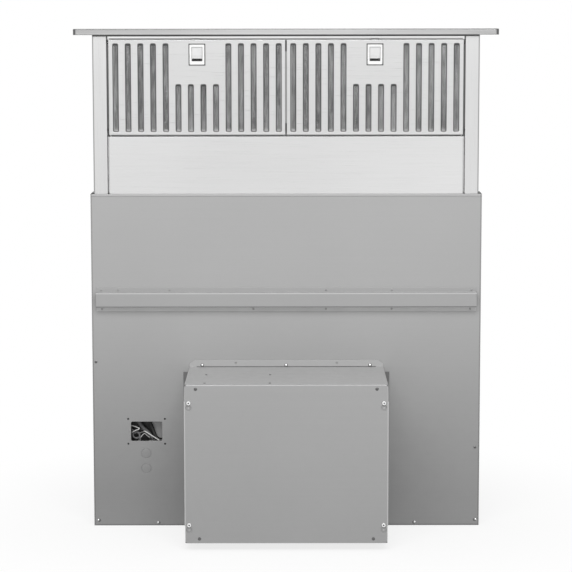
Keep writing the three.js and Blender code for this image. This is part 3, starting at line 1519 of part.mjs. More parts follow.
function latchSpring() {
  const bottom = latchShelf + FIT + SPRING_WIRE;
  const top = sliderBottom - FIT - SPRING_WIRE;
  return new THREE.ExtrudeGeometry(polygon(SPRING_WIRE, 4), {
    steps: SPRING_TURNS * 8,
    extrudePath: new Helix(SPRING_RADIUS, bottom, top, SPRING_TURNS),
    bevelEnabled: false,
  });
}

for (const [word, side] of SIDES) {
  const panel = addGroup(riser, side * panelX, hingeY, hingeZ);
  addPiece(panel, `filter_cover_${word}`, filterCover(), MATERIALS.stainless);
  addPiece(panel, `grease_filter_${word}`, greaseFilter(), MATERIALS.filterMesh);
  addPiece(panel, `latch_bezel_${word}`, latchBezel(), MATERIALS.bezelWhite);
  addPiece(panel, `latch_slider_${word}`, latchSlider(), MATERIALS.stainless);
  addPiece(panel, `latch_spring_${word}`, latchSpring(), MATERIALS.screwSteel);
}

export default vent;
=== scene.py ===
"""Looks of the downdraft vent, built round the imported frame. Metres, +Z up, -Y to the front."""

import json
import math
import random

import bmesh
import bpy
from mathutils import Matrix, Vector


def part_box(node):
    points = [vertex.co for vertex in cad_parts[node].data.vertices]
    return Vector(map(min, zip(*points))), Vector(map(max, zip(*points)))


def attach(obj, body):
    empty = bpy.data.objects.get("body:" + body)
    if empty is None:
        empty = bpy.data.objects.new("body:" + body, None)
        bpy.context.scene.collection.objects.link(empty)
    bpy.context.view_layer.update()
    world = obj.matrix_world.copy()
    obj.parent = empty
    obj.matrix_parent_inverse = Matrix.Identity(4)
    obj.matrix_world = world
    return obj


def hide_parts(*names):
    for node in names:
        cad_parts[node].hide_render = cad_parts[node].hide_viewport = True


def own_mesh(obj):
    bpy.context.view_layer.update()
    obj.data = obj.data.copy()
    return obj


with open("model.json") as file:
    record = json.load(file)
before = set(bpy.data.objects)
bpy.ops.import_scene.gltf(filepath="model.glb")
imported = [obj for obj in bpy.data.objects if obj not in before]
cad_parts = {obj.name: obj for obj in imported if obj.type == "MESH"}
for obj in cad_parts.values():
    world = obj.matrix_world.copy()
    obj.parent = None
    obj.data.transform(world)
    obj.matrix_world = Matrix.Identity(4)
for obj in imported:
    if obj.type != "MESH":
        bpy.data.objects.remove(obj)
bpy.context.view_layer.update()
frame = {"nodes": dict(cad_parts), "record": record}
nodes = frame["nodes"]

MM = 0.001
SIDES = (("left", -1), ("right", 1))

# Places shared with the CAD source, in metres.
CHASSIS_FRONT = -0.027
CHASSIS_EDGE = 0.4237
CHASSIS_TOP = 0.733
STIFFENER_FACE = -0.0283
STIFFENER_BENDS = (0.488, 0.518)
BLOWER_FLANGE_FACE = -0.0283
FLANGE_X = 0.2125
COVER_FACE = -0.259
COVER_EDGE = 0.2119
BOX_TOP = 0.354
KEYHOLES = (0.204, 0.18525, 0.12975)
KEYHOLE_DROP = 10 * MM
SHOULDER_HEAD = 4.35 * MM
SHOULDER_SOCKET = 1.5 * MM
CUTOUT = (-0.3068, 0.211)
BOX_MOUTH = -0.0257
KNOCKOUT_X = -0.3078
KNOCKOUTS = (0.162, 0.1285)
CAP_HALF, CAP_FOOT, CAP_TOP = 0.4572, 1.0752, 1.088
HEADER_END = 0.3857
COLUMN_EDGE = 0.4167
LEAD_SCREW_X = 0.40135
THREAD_FOOT = 0.052
THREAD_CREST = 6.0 * MM
PANEL_X = 0.19135
HINGE = (-0.017, 0.866)
FILTER_FRONT = -0.0215
SLOT_PITCH = 27.029 * MM
SLOT_SIZE = (11.8 * MM, 3.0 * MM)
SLOT_HEIGHTS = (102.0 * MM, 189.5 * MM)
SLOT_FOOT = 0.8673
SPLIT_ENDS = (0.886, 1.040)
SLIDER_PLATE = -0.0195
SLIDER_WINDOW = (1.030, 1.058)
SPRING_ENDS = (0.99311, 1.00949)
SPRING_RADIUS, SPRING_WIRE = 2.6 * MM, 0.45 * MM

# Stretches over which painted light and shade fade in, in metres.
FLANGE_SHADE = (0.290, 0.325)
FOOT_SHADE = (0.10, 0.50)
CAP_SHADE = (0.10, 0.42)
SLOT_GLINT = (SLOT_FOOT + 4.0 * MM, SLOT_FOOT + 7.5 * MM)


# ----------------------------------------------------------
# Node trees
# ----------------------------------------------------------
class Value:
    """A number in a node tree; arithmetic on it adds maths nodes."""

    def __init__(self, tree, socket):
        self.tree, self.socket = tree, socket

    def __rsub__(self, other):
        return self.tree.maths("SUBTRACT", other, self)

    def spread(self, low, high, start=0.3, end=0.7):
        """The number from start to end, stretched to low to high."""
        inputs = {"Value": self, "From Min": start, "From Max": end, "To Min": low, "To Max": high}
        return Value(self.tree, self.tree.node("ShaderNodeMapRange", inputs).outputs["Result"])


def operator(operation):
    """A method of Value that adds one maths node."""
    return lambda value, other=None: value.tree.maths(operation, value, other)


for method, operation in (
    ("add", "ADD"), ("sub", "SUBTRACT"), ("mul", "MULTIPLY"), ("truediv", "DIVIDE"),
    ("lt", "LESS_THAN"), ("gt", "GREATER_THAN"), ("or", "MAXIMUM"), ("abs", "ABSOLUTE"),
):
    setattr(Value, f"__{method}__", operator(operation))


def rgba(colour):
    """A colour with its alpha, from a grey or from three channels."""
    return (*colour, 1) if isinstance(colour, tuple) else (colour, colour, colour, 1)


def brightened(colour, gain, lift=0.0):
    """A lighter colour, up to white."""
    return tuple(min(1, gain * channel + lift) for channel in rgba(colour)[:3])


class Tree:
    """Adds nodes to one node tree. A colour is a grey, three channels or another node's output."""

    def __init__(self, data):
        self.data = data

    def put(self, socket, value):
        """Gives an input a number, a colour, or another node's output."""
        value = getattr(value, "socket", value)
        if isinstance(value, bpy.types.NodeSocket):
            self.data.links.new(value, socket)
        else:
            socket.default_value = rgba(value) if socket.type == "RGBA" else value

    def node(self, kind, inputs=(), **settings):
        """Adds a node with its settings, and with its inputs by name or number."""
        made = self.data.nodes.new(kind)
        for key, value in settings.items():
            setattr(made, key, value)
        for key, value in dict(inputs).items():
            self.put(made.inputs[key], value)
        return made

    def maths(self, operation, *values):
        inputs = {i: value for i, value in enumerate(values) if value is not None}
        return Value(self, self.node("ShaderNodeMath", inputs, operation=operation).outputs[0])

    def root(self, value):
        return self.maths("SQRT", value)

    def mix(self, factor, first, second, blend="MIX"):
        inputs = {0: factor, 6: first, 7: second}
        return self.node("ShaderNodeMix", inputs, data_type="RGBA", blend_type=blend).outputs[2]

    def seen_directly(self):
        """1 for camera, glossy and transmission rays, and 0 for the rays that light a surface."""
        rays = self.node("ShaderNodeLightPath").outputs
        camera, glossy, through = (
            Value(self, rays[f"Is {kind} Ray"]) for kind in ("Camera", "Glossy", "Transmission")
        )
        return camera | glossy | through

    def mixed_shader(self, factor, first, second):
        inputs = {0: factor, 1: first.outputs[0], 2: second.outputs[0]}
        return self.node("ShaderNodeMixShader", inputs).outputs[0]


class Look(Tree):
    """A procedural material: a Principled shader with patterns in the row frame's metres."""

    def __init__(self, name, metallic, roughness, **constants):
        self.material = bpy.data.materials.new(name)
        self.material.use_nodes = True
        super().__init__(self.material.node_tree)
        self.shader = self.data.nodes["Principled BSDF"]
        self.place = self.node("ShaderNodeTexCoord").outputs["Object"]
        self.rounded = None
        constants.update(Metallic=metallic, Roughness=roughness)
        for socket, value in constants.items():
            self.put(self.shader.inputs[socket], value)

    def scaled(self, scale):
        """The place, stretched by scale along each axis."""
        inputs = {"Scale": scale, "Vector": self.place}
        return self.node("ShaderNodeMapping", inputs).outputs["Vector"]

    def noise(self, scale, detail=3.0, roughness=0.55):
        """Cloudy noise from 0 to 1, with its features 1 / scale metres wide along each axis."""
        place = self.scaled((scale,) * 3 if isinstance(scale, (int, float)) else scale)
        inputs = {"Scale": 1.0, "Detail": detail, "Roughness": roughness, "Vector": place}
        return Value(self, self.node("ShaderNodeTexNoise", inputs).outputs["Fac"])

    def ramp(self, value, dark, pale, start=0.3, end=0.7):
        """From dark where value is start to pale where it is end."""
        made = self.node("ShaderNodeValToRGB", {"Fac": value})
        for element, position, colour in zip(made.color_ramp.elements, (start, end), (dark, pale)):
            element.position = position
            element.color = rgba(colour)
        return made.outputs["Color"]

    def axes(self):
        """The X, Y and Z of the row frame, in metres."""
        split = self.node("ShaderNodeSeparateXYZ", {0: self.place})
        return [Value(self, split.outputs[name]) for name in "XYZ"]

    def edges(self, radius):
        """1 within radius of a sharp edge and 0 on flat faces; rounds the shading there too."""
        self.rounded = self.node("ShaderNodeBevel", {"Radius": radius}, samples=6).outputs["Normal"]
        inputs = {0: self.rounded, 1: self.node("ShaderNodeNewGeometry").outputs["Normal"]}
        dot = self.node("ShaderNodeVectorMath", inputs, operation="DOT_PRODUCT")
        return Value(self, dot.outputs["Value"]).spread(1.0, 0.0, 0.86, 0.998)

    def bump(self, height, strength, distance):
        inputs = {"Strength": strength, "Distance": distance, "Height": height}
        if self.rounded is not None:
            inputs["Normal"] = self.rounded
        made = self.node("ShaderNodeBump", inputs)
        self.put(self.shader.inputs["Normal"], made.outputs["Normal"])

    def rough(self, source):
        self.put(self.shader.inputs["Roughness"], source)

    def colour(self, source):
        self.put(self.shader.inputs["Base Color"], source)

    def tint(self, factor, colour, blend="MIX"):
        """Lays a colour over the one that the look has, as strongly as factor says."""
        below = self.shader.inputs["Base Color"].links[0].from_socket
        self.colour(self.mix(factor, below, colour, blend))


# ----------------------------------------------------------
# Camera, light and floor
# ----------------------------------------------------------
CAMERA_PLACE = (0.00463, -4.7098, 1.1205)
CAMERA_LENS, CAMERA_SENSOR = 136.48, 36
CAMERA_TURN, CAMERA_DIP, CAMERA_ROLL = 0.0011, 0.125, -0.0012
WORLD_LIGHT = 0.48
FLOOR_SIZE = 40
# Name, place, target, size in metres and power in watts.
LAMPS = (
    ("key", (-0.15, -2.2, 2.5), (0, -0.05, 0.5), (2.4, 1.4), 50),
    ("front", (0.5, -3.4, 3.4), (0, -0.1, 0.5), (2.6, 1.8), 27),
)


def make_camera():
    data = bpy.data.cameras.new("camera")
    data.sensor_width = CAMERA_SENSOR
    data.lens = CAMERA_LENS
    data.clip_start, data.clip_end = 0.1, 200
    camera = bpy.data.objects.new("camera", data)
    bpy.context.scene.collection.objects.link(camera)
    turn = Matrix.Rotation(CAMERA_TURN, 4, "Z")
    tilt = Matrix.Rotation(math.pi / 2 - CAMERA_DIP, 4, "X")
    roll = Matrix.Rotation(CAMERA_ROLL, 4, "Z")
    camera.matrix_world = Matrix.Translation(CAMERA_PLACE) @ turn @ tilt @ roll
    bpy.context.scene.camera = camera


def add_lamp(name, place, target, size, power):
    data = bpy.data.lights.new(name, "AREA")
    data.shape = "RECTANGLE"
    data.size, data.size_y = size
    data.energy = power
    lamp = bpy.data.objects.new(name, data)
    bpy.context.scene.collection.objects.link(lamp)
    aim = (Vector(target) - Vector(place)).to_track_quat("-Z", "Y")
    lamp.matrix_world = Matrix.Translation(place) @ aim.to_matrix().to_4x4()


def make_world():
    """White to look at, with an even light of its own strength."""
    world = bpy.data.worlds.new("studio")
    bpy.context.scene.world = world
    world.use_nodes = True
    tree = Tree(world.node_tree)
    tree.data.nodes.clear()
    light, shown = (
        tree.node("ShaderNodeBackground", {"Color": 1, "Strength": strength})
        for strength in (WORLD_LIGHT, 1.0)
    )
    tree.node("ShaderNodeOutputWorld", {0: tree.mixed_shader(tree.seen_directly(), light, shown)})


def make_floor():
    """A pale floor that keeps the shadow near the object and turns white away from it."""
    mesh = bpy.data.meshes.new("floor")
    corners = ((-1, -1), (1, -1), (1, 1), (-1, 1))
    mesh.from_pydata([(FLOOR_SIZE * x, FLOOR_SIZE * y, 0) for x, y in corners], [], [(0, 1, 2, 3)])
    floor = bpy.data.objects.new("floor", mesh)
    bpy.context.scene.collection.objects.link(floor)
    look = Look("pale_floor", 0.0, 0.9)
    mesh.materials.append(look.material)
    direct = look.seen_directly()
    look.colour(look.mix(direct, 0.42, 0.95))
    away = look.node("ShaderNodeVectorMath", {0: look.place}, operation="LENGTH").outputs["Value"]
    inputs = {"Value": away, "From Min": 0.30, "From Max": 1.0, "To Min": 0.78}
    fade = look.node("ShaderNodeMapRange", inputs, interpolation_type="SMOOTHSTEP")
    white = look.node("ShaderNodeEmission", {"Color": 1})
    factor = Value(look, fade.outputs["Result"]) * direct
    surface = look.data.nodes["Material Output"].inputs["Surface"]
    look.put(surface, look.mixed_shader(factor, look.shader, white))


# ----------------------------------------------------------
# Materials
# ----------------------------------------------------------
def zinc_sheet(name, dark, pale, edge, radius=0.9 * MM, foot=0.0):
    """Zinc-coated sheet: mill streaks, a fine grain, a slow drift of tone, painted shade towards its
    foot, and painted shade in the edge colour along folds and cut edges.
    """
    look = Look(name, 0.35, 0.45)
    grain = look.noise(1400, 2)
    streak = look.noise((2.5, 2.5, 260), 2)
    tone = look.noise(1.9, 3) * 0.6 + streak * 0.15 + grain * 0.25
    look.colour(look.ramp(tone, dark, pale, 0.25, 0.75))
    # Painted shade: darker towards the foot, for the light falling off low down.
    if foot:
        shade_height = look.axes()[2] + look.noise(2.2, 2) * 0.06
        look.tint(shade_height.spread(foot, 0.0, *FOOT_SHADE), 0.0)
    # Painted shade along folds and cut edges, in the edge colour.
    look.tint(look.edges(radius) * 0.75, edge)
    look.rough(look.noise(45, 4).spread(0.42, 0.54))
    look.bump(grain + streak, 0.10, 0.05 * MM)
    return look


def cover_sheet(name, dark, pale, edge):
    """The blower cover's sheet, with its four shoulder-screw heads in bright zinc, painted shade in
    their sockets and round them, and a painted highlight along its side bends.
    """
    look = zinc_sheet(name, dark, pale, edge, foot=0.12)
    x, y, z = look.axes()
    along, middle, half = KEYHOLES
    dx, dz = abs(x) - along, abs(z - middle) - half
    away = look.root(dx * dx + dz * dz)
    socket = away < 1.04 * SHOULDER_SOCKET
    # The heads' zinc, with painted shade in their sockets.
    bright = look.mix(socket, look.ramp(look.noise(2400, 2), 0.86, 0.96), 0.03)
    # Painted shadow: a dark ring round each head.
    look.tint(away.spread(1.0, 0.0, SHOULDER_HEAD, 1.3 * SHOULDER_HEAD) * 0.7, 0.10)
    # Painted highlight along the side bends.
    side = abs(x).spread(0.0, 0.6, COVER_EDGE - 1.1 * MM, COVER_EDGE)
    look.tint(side * (y < COVER_FACE + 1.5 * MM), 0.66)
    near = away < 1.08 * SHOULDER_HEAD
    head = (y < COVER_FACE - 0.03 * MM) * near
    inside = (away < 0.95 * SHOULDER_HEAD) * near
    look.tint(head | inside * socket, bright)
    return look


def chassis_sheet(name, dark, pale):
    """The chassis's sheet: painted shade towards its foot, along its upright edges and at its bottom
    edge, and a painted highlight along its top hem.
    """
    look = zinc_sheet(name, dark, pale, 0.8 * dark, 1.0 * MM, foot=0.30)
    x, _, z = look.axes()
    # Painted shade along the upright edges and the bottom edge.
    side = abs(x).spread(0.0, 0.30, CHASSIS_EDGE - 3.6 * MM, CHASSIS_EDGE - 2.4 * MM)
    foot = z.spread(0.35, 0.0, 2.6 * MM, 3.8 * MM)
    # Painted highlight along the top hem.
    look.tint(z.spread(0.0, 1.0, CHASSIS_TOP - 5.6 * MM, CHASSIS_TOP - 4.8 * MM), 1.04 * pale)
    look.tint(side | foot, 0.04)
    return look


def side_sheet(name, dark, pale, edge):
    """The blower box's side sheets, in shade at the flanges' upper corners."""
    look = zinc_sheet(name, dark, pale, edge, 1.8 * MM)
    x, _, z = look.axes()
    look.tint((abs(x) > FLANGE_X) * z.spread(0.0, 0.75, *FLANGE_SHADE), 0.08)
    return look


def hat_sheet(name, dark, pale):
    """The stiffener's sheet: a painted highlight on its upper bend, painted shade on its lower bend,
    and its lower flange painted paler against the crown's shadow.
    """
    look = zinc_sheet(name, dark, pale, pale)
    height = look.axes()[2]
    low, high = STIFFENER_BENDS
    margin = 0.5 * MM
    upper = height.spread(0.0, 1.0, high - 2.2 * MM, high) * (height < high + margin)
    lower = height.spread(1.0, 0.0, low, low + 2.4 * MM) * (height > low - margin)
    # Painted light: the lower flange paler, to lift the crown's shadow off it.
    look.tint((height < low - margin) * 0.5, 0.78)
    look.tint(upper * 0.8, 0.66)
    look.tint(lower * 0.9, 0.08)
    return look


def brushed_steel(name, along, dark, pale, edge=0.22, radius=1.2 * MM):
    """Stainless sheet brushed along one axis, 0 for X or 2 for Z, with painted shade at folds and cut
    edges.
    """
    look = Look(name, 1.0, 0.3, Anisotropic=0.35)
    fine, coarse = [1500.0] * 3, [300.0] * 3
    fine[along], coarse[along] = 9.0, 1.2
    hair = look.noise(fine, 3, 0.7)
    tone = hair * 0.25 + look.noise(coarse, 2) * 0.05 + look.noise(1.7, 2) * 0.70
    look.colour(look.ramp(tone, dark, pale))
    # Painted shade at folds and cut edges, for the dark room that they reflect.
    look.tint(look.edges(radius) * 0.85, edge)
    look.rough(hair.spread(0.26, 0.38))
    look.bump(hair, 0.07, 0.03 * MM)
    return look


def cap_steel(name, dark, pale, edge):
    """The cap's brushed sheet, with painted light and shade: lighter in the middle and low down,
    darker towards its ends and its top, and painted shade along the folds at its top, its foot and
    its ends.
    """
    look = brushed_steel(name, 0, dark, pale, edge, 2.0 * MM)
    x, _, z = look.axes()
    top = z.spread(0.0, 0.85, CAP_TOP - 2.4 * MM, CAP_TOP - 1.4 * MM)
    foot = z.spread(0.8, 0.0, CAP_FOOT, CAP_FOOT + 1.8 * MM)
    inward = CAP_HALF - abs(x)
    end = inward.spread(0.45, 1.0, 0.5 * MM, 1.6 * MM) * inward.spread(1.0, 0.0, 5.0 * MM, 7.0 * MM)
    # Painted light and shade across the cap: lighter in the middle and low down, darker towards its
    # ends and its top.
    near, far = CAP_SHADE
    level = x.spread(0.88, 1.08, -far, -near) * x.spread(1.0, 0.80, near, far)
    look.tint(1.0, level * z.spread(1.10, 0.90, CAP_FOOT, CAP_TOP), "MULTIPLY")
    # Painted shade along the folds at the top, the foot and the ends.
    look.tint(top | foot | end, 0.13)
    return look


def header_steel(name, dark, pale, edge):
    """The header's sheet, a paler copy of the stainless as a painted highlight, with a dark line
    painted near each end.
    """
    look = brushed_steel(name, 0, dark, pale, edge)
    x = look.axes()[0]
    look.tint(abs(x).spread(0.0, 0.9, HEADER_END - 2.6 * MM, HEADER_END - 1.8 * MM), 0.06)
    return look


def slots_steel(name, dark, pale):
    """The filter covers' sheet, with painted shade round its slots and edges and along the split
    between the two, darkest at the split's ends.
    """
    # Painted shade round the slots and edges, near black.
    look = brushed_steel(name, 0, dark, pale, 0.06, 2.0 * MM)
    x, _, z = look.axes()
    aside = abs(x)
    ends = (z > SPLIT_ENDS[1]) | (z < SPLIT_ENDS[0])
    # Painted shade along the split between the covers, darkest at its ends.
    look.tint(aside.spread(0.8, 0.0, 1.8 * MM, 2.6 * MM), 0.40)
    look.tint(ends * (aside < 1.5 * MM), 0.03)
    return look


def column_steel(name, dark, pale):
    """A column's sheet, brushed upright, with its outer bend in shade."""
    look = brushed_steel(name, 2, dark, pale)
    x = look.axes()[0]
    look.tint(abs(x).spread(0.0, 0.75, COLUMN_EDGE - 3.4 * MM, COLUMN_EDGE - 1.6 * MM), 0.22)
    return look


def moulding(name, dark, pale, roughness, grain_scale=2600, grain=0.15):
    """Moulded plastic or rubber with a fine spark-eroded grain and a faint painted highlight along
    its edges.
    """
    look = Look(name, 0.0, roughness)
    cloud = look.noise(60, 3)
    fine = look.noise(grain_scale, 2)
    look.colour(look.ramp(cloud * 0.7 + fine * 0.3, dark, pale))
    # Painted highlight along the edges.
    look.tint(look.edges(0.3 * MM) * 0.15, brightened(pale, 1.3, 0.02))
    look.rough(cloud.spread(roughness - 0.06, roughness + 0.08))
    look.bump(fine, grain, 0.06 * MM)
    return look


def slider_moulding(name, dark, pale):
    """The latch slider: a pale face, and painted shade on the plate behind it, darkest inside the
    window.
    """
    look = moulding(name, dark, pale, 0.35, grain=0.1)
    _, y, z = look.axes()
    # Painted shade on the plate behind the face: grey below the window, near black inside it.
    plate = look.mix(z < SLIDER_WINDOW[0], 0.30, 0.015)
    look.tint(y > SLIDER_PLATE, look.mix(z > SLIDER_WINDOW[1], plate, 0.62))
    return look


def belt_rubber(name):
    """A toothed belt: ribs 3 mm apart along its straight runs, with painted shade in the grooves
    between them.
    """
    look = moulding(name, (0.016, 0.016, 0.017), (0.035, 0.035, 0.036), 0.6)
    rib = look.maths("PINGPONG", look.axes()[0] / (3 * MM), 0.5) * 2
    # Painted shade in the grooves between the ribs.
    look.tint(rib.spread(0.8, 0.0, 0.25, 0.5), 0.004)
    look.bump(rib, 0.8, 0.7 * MM)
    return look


def cast_metal(name, dark, pale, roughness):
    """Die-cast or sand-cast metal with a pebbled skin and darker hollows."""
    look = Look(name, 0.8, roughness)
    pebble = look.noise(700, 4, 0.6)
    cloud = look.noise(35, 3)
    look.colour(look.ramp(pebble * 0.5 + cloud * 0.5, dark, pale, 0.32, 0.68))
    look.tint(look.edges(0.4 * MM) * 0.4, brightened(pale, 1.25))
    look.rough(cloud.spread(roughness - 0.07, roughness + 0.08))
    look.bump(pebble, 0.35, 0.12 * MM)
    return look


def turned_metal(name, dark, pale, roughness):
    """Machined or plated metal with fine tool marks."""
    look = Look(name, 1.0, roughness)
    marks = look.noise((900, 900, 4200), 2)
    cloud = look.noise(120, 3)
    look.colour(look.ramp(marks * 0.5 + cloud * 0.5, dark, pale))
    look.rough(cloud.spread(roughness - 0.05, roughness + 0.08))
    look.bump(marks, 0.15, 0.03 * MM)
    return look


def threaded_steel(name):
    """A lead screw, with dark oil in the roots of its thread."""
    look = Look(name, 1.0, 0.3)
    x, y, z = look.axes()
    aside = abs(x) - LEAD_SCREW_X
    out = look.root(aside * aside + y * y)
    root = out.spread(1.0, 0.0, THREAD_CREST - 0.7 * MM, THREAD_CREST - 0.1 * MM)
    wear = look.noise((900, 900, 60), 2)
    look.colour(look.ramp(wear, (0.48, 0.485, 0.49), (0.66, 0.665, 0.67)))
    look.tint((z > THREAD_FOOT) * root, (0.06, 0.058, 0.055))
    look.rough(wear.spread(0.24, 0.4))
    look.bump(wear, 0.15, 0.03 * MM)
    return look


def woven_core(name):
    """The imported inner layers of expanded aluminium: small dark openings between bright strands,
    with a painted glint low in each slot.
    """
    look = Look(name, 0.85, 0.5)
    _, y, z = look.axes()
    place = look.scaled((1 / (2.6 * MM), 1 / (2.6 * MM), 1 / (1.7 * MM)))
    inputs = {"Scale": 1.0, "Vector": place}
    cell = look.node("ShaderNodeTexVoronoi", inputs, feature="DISTANCE_TO_EDGE")
    depth = Value(look, cell.outputs["Distance"]).spread(0.0, 1.0, 0.04, 0.22)
    strands = look.ramp(look.noise(24, 3), (0.17, 0.171, 0.173), (0.40, 0.402, 0.405))
    look.colour(look.mix(depth, strands, (0.05, 0.05, 0.052)))
    look.tint(1.0, look.noise((260, 260, 120), 2).spread(0.62, 1.2), "MULTIPLY")
    # Painted glint at the foot of each slot.
    look.tint(z.spread(0.5, 0.0, *SLOT_GLINT), 0.6)
    look.tint(y < FILTER_FRONT + 0.2 * MM, 0.50)
    look.rough(depth.spread(0.38, 0.75, 0, 1))
    look.bump(1.0 - depth, 0.8, 0.6 * MM)
    return look


def filter_strand(name):
    """Expanded aluminium, brighter and duller in patches a few strands wide, with a painted glint low
    in each slot.
    """
    look = Look(name, 1.0, 0.38)
    drift = look.noise((28, 28, 9), 3)
    tone = look.noise((380, 380, 32), 2, 0.6) * 0.6 + drift * 0.4
    look.colour(look.ramp(tone, (0.16, 0.161, 0.162), (0.60, 0.601, 0.602), 0.38, 0.62))
    # Painted glint at the foot of each slot.
    look.tint(look.axes()[2].spread(0.75, 0.0, *SLOT_GLINT), 0.60)
    look.rough(drift.spread(0.32, 0.46))
    look.bump(look.noise((900, 900, 4200), 2), 0.15, 0.03 * MM)
    return look


def make_looks():
    made = {
        "galvanised_steel": zinc_sheet("galvanised_sheet", 0.395, 0.44, 0.20),
        "chassis_sheet": chassis_sheet("chassis_sheet", 0.40, 0.45),
        "cover_sheet": cover_sheet("cover_sheet", 0.395, 0.44, 0.30),
        "hat_sheet": hat_sheet("hat_sheet", 0.375, 0.42),
        "top_sheet": zinc_sheet("top_sheet", 0.42, 0.47, 0.22, 1.8 * MM),
        "side_sheet": side_sheet("side_sheet", 0.43, 0.48, 0.15),
        "stainless": brushed_steel("brushed_across", 0, 0.67, 0.78),
        "stainless_upright": column_steel("brushed_upright", 0.65, 0.73),
        "stainless_slots": slots_steel("brushed_slots", 0.645, 0.71),
        "stainless_cap": cap_steel("brushed_cap", 0.46, 0.55, 0.24),
        # A paler copy of the stainless for the header: a painted highlight.
        "stainless_painted_highlight": header_steel("brushed_header_highlight", 0.86, 0.94, 0.8),
        "bezel_white": moulding(
            "satin_white", (0.93, 0.93, 0.925), (0.97, 0.97, 0.965), 0.35, grain=0.08
        ),
        "slider_face": slider_moulding("satin_grey", 0.74, 0.81),
        "window_rim": moulding("shaded_rim", 0.34, 0.42, 0.4, grain=0.1),
        "seal_grey": moulding("seal_grey", 0.52, 0.60, 0.7),
        "cap_foam": moulding("cap_foam", 0.17, 0.22, 0.7),
        "grey_foam": moulding("grey_foam", 0.085, 0.13, 0.7),
        # Near black, for the rims that stand in for the shade in the slots.
        "slot_rim": moulding("slot_rim", 0.03, 0.06, 0.5),
        "filter_mesh": woven_core("filter_core"),
        "strand": filter_strand("filter_strand"),
        "black_rubber": moulding("soft_rubber", 0.018, 0.035, 0.62),
        "black_nylon": moulding("black_nylon", 0.012, 0.028, 0.45),
        "cast_alloy": cast_metal("cast_alloy", (0.38, 0.385, 0.39), (0.52, 0.525, 0.53), 0.5),
        "screw_steel": turned_metal("ground_steel", (0.50, 0.505, 0.51), (0.66, 0.665, 0.67), 0.28),
        "zinc": turned_metal("bright_zinc", 0.72, 0.86, 0.25),
        "dull_screw": turned_metal("dull_zinc", 0.24, 0.40, 0.4),
        "dark_screw": turned_metal("dark_zinc", 0.10, 0.22, 0.35),
        "knockout_sheet": zinc_sheet("knockout_sheet", 0.285, 0.325, 0.20, 1.6 * MM),
        "faint_sheet": zinc_sheet("faint_sheet", 0.325, 0.365, 0.28, 1.0 * MM),
        "thread_steel": threaded_steel("lead_thread"),
        "belt": belt_rubber("belt_rubber"),
        "brass": turned_metal("turned_brass", (0.50, 0.36, 0.13), (0.66, 0.49, 0.20), 0.3),
        "white_wire": moulding("white_insulation", (0.72, 0.72, 0.715), (0.80, 0.80, 0.79), 0.4),
        "grey_wire": moulding("grey_insulation", (0.16, 0.16, 0.165), (0.24, 0.24, 0.245), 0.45),
        "dark_plastic": moulding(
            "dark_plastic", (0.025, 0.026, 0.028), (0.05, 0.051, 0.054), 0.5, 1800, 0.25
        ),
    }
    return {name: look.material for name, look in made.items()}


looks = make_looks()

# Nodes that don't take the look of their material slot.
OWN_LOOKS = {
    "cap": "stainless_cap",
    # The header takes the paler copy of the stainless, a painted highlight.
    "header_rail": "stainless_painted_highlight",
    "cap_gasket": "cap_foam",
    "blower_cover": "cover_sheet",
    "blower_top": "top_sheet",
    "front_stiffener": "hat_sheet",
    "sync_belt": "belt",
    "motor_belt": "belt",
    "chassis_front": "chassis_sheet",
}
for word, _ in SIDES:
    OWN_LOOKS |= {
        f"column_{word}": "stainless_upright",
        f"filter_cover_{word}": "stainless_slots",
        f"blower_side_{word}": "side_sheet",
        f"lead_screw_{word}": "thread_steel",
        f"chassis_side_{word}": "chassis_sheet",
    }


def dress_nodes():
    """Gives each CAD node its material, in every slot that its mesh has."""
    for part in frame["record"]["subparts"]:
        look = looks[OWN_LOOKS.get(part["node"], part["material_slot"])]
        materials = nodes[part["node"]].data.materials
        if not materials:
            materials.append(look)
        for i in range(len(materials)):
            materials[i] = look


# ----------------------------------------------------------
# Shading: smooth on curves and sharp at folds
# ----------------------------------------------------------
SHARP_ANGLE = math.radians(31)


def make_shading_group():
    """Merges doubled points, drops the normals that a mesh came with, and marks sharp edges."""
    group = bpy.data.node_groups.new("smooth_by_angle", "GeometryNodeTree")
    for direction in ("INPUT", "OUTPUT"):
        group.interface.new_socket("Geometry", in_out=direction, socket_type="NodeSocketGeometry")
    tree = Tree(group)
    angle = tree.node("GeometryNodeInputMeshEdgeAngle").outputs["Unsigned Angle"]
    inputs = {0: angle, 1: SHARP_ANGLE}
    steep = tree.node("FunctionNodeCompare", inputs, data_type="FLOAT", operation="GREATER_THAN")
    sharp = {"Selection": steep.outputs["Result"], "Shade Smooth": False}
    chain = (
        tree.node("NodeGroupInput"),
        tree.node("GeometryNodeMergeByDistance", {"Distance": 1e-6}),
        tree.node("GeometryNodeRemoveAttribute", {"Name": "custom_normal"}),
        tree.node("GeometryNodeSetShadeSmooth", domain="FACE"),
        tree.node("GeometryNodeSetShadeSmooth", domain="EDGE"),
        tree.node("GeometryNodeSetShadeSmooth", sharp, domain="EDGE"),
        tree.node("NodeGroupOutput"),
    )
    for first, second in zip(chain, chain[1:]):
        tree.put(second.inputs[0], first.outputs[0])


def smooth_by_angle(made):
    modifier = made.modifiers.new("shading", "NODES")
    modifier.node_group = bpy.data.node_groups["smooth_by_angle"]


def shade_nodes():
    make_shading_group()
    for node in nodes.values():
        smooth_by_angle(node)
        weighted = node.modifiers.new("flat_faces", "WEIGHTED_NORMAL")
        weighted.keep_sharp = True


# ----------------------------------------------------------
# Mesh helpers
# ----------------------------------------------------------
FRONT = (0, -1, 0)
UP = (0, 0, 1)


def add_object(name, data, body, look):
    data.materials.append(looks[look])
    made = bpy.data.objects.new(name, data)
    bpy.context.scene.collection.objects.link(made)
    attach(made, body)
    return made


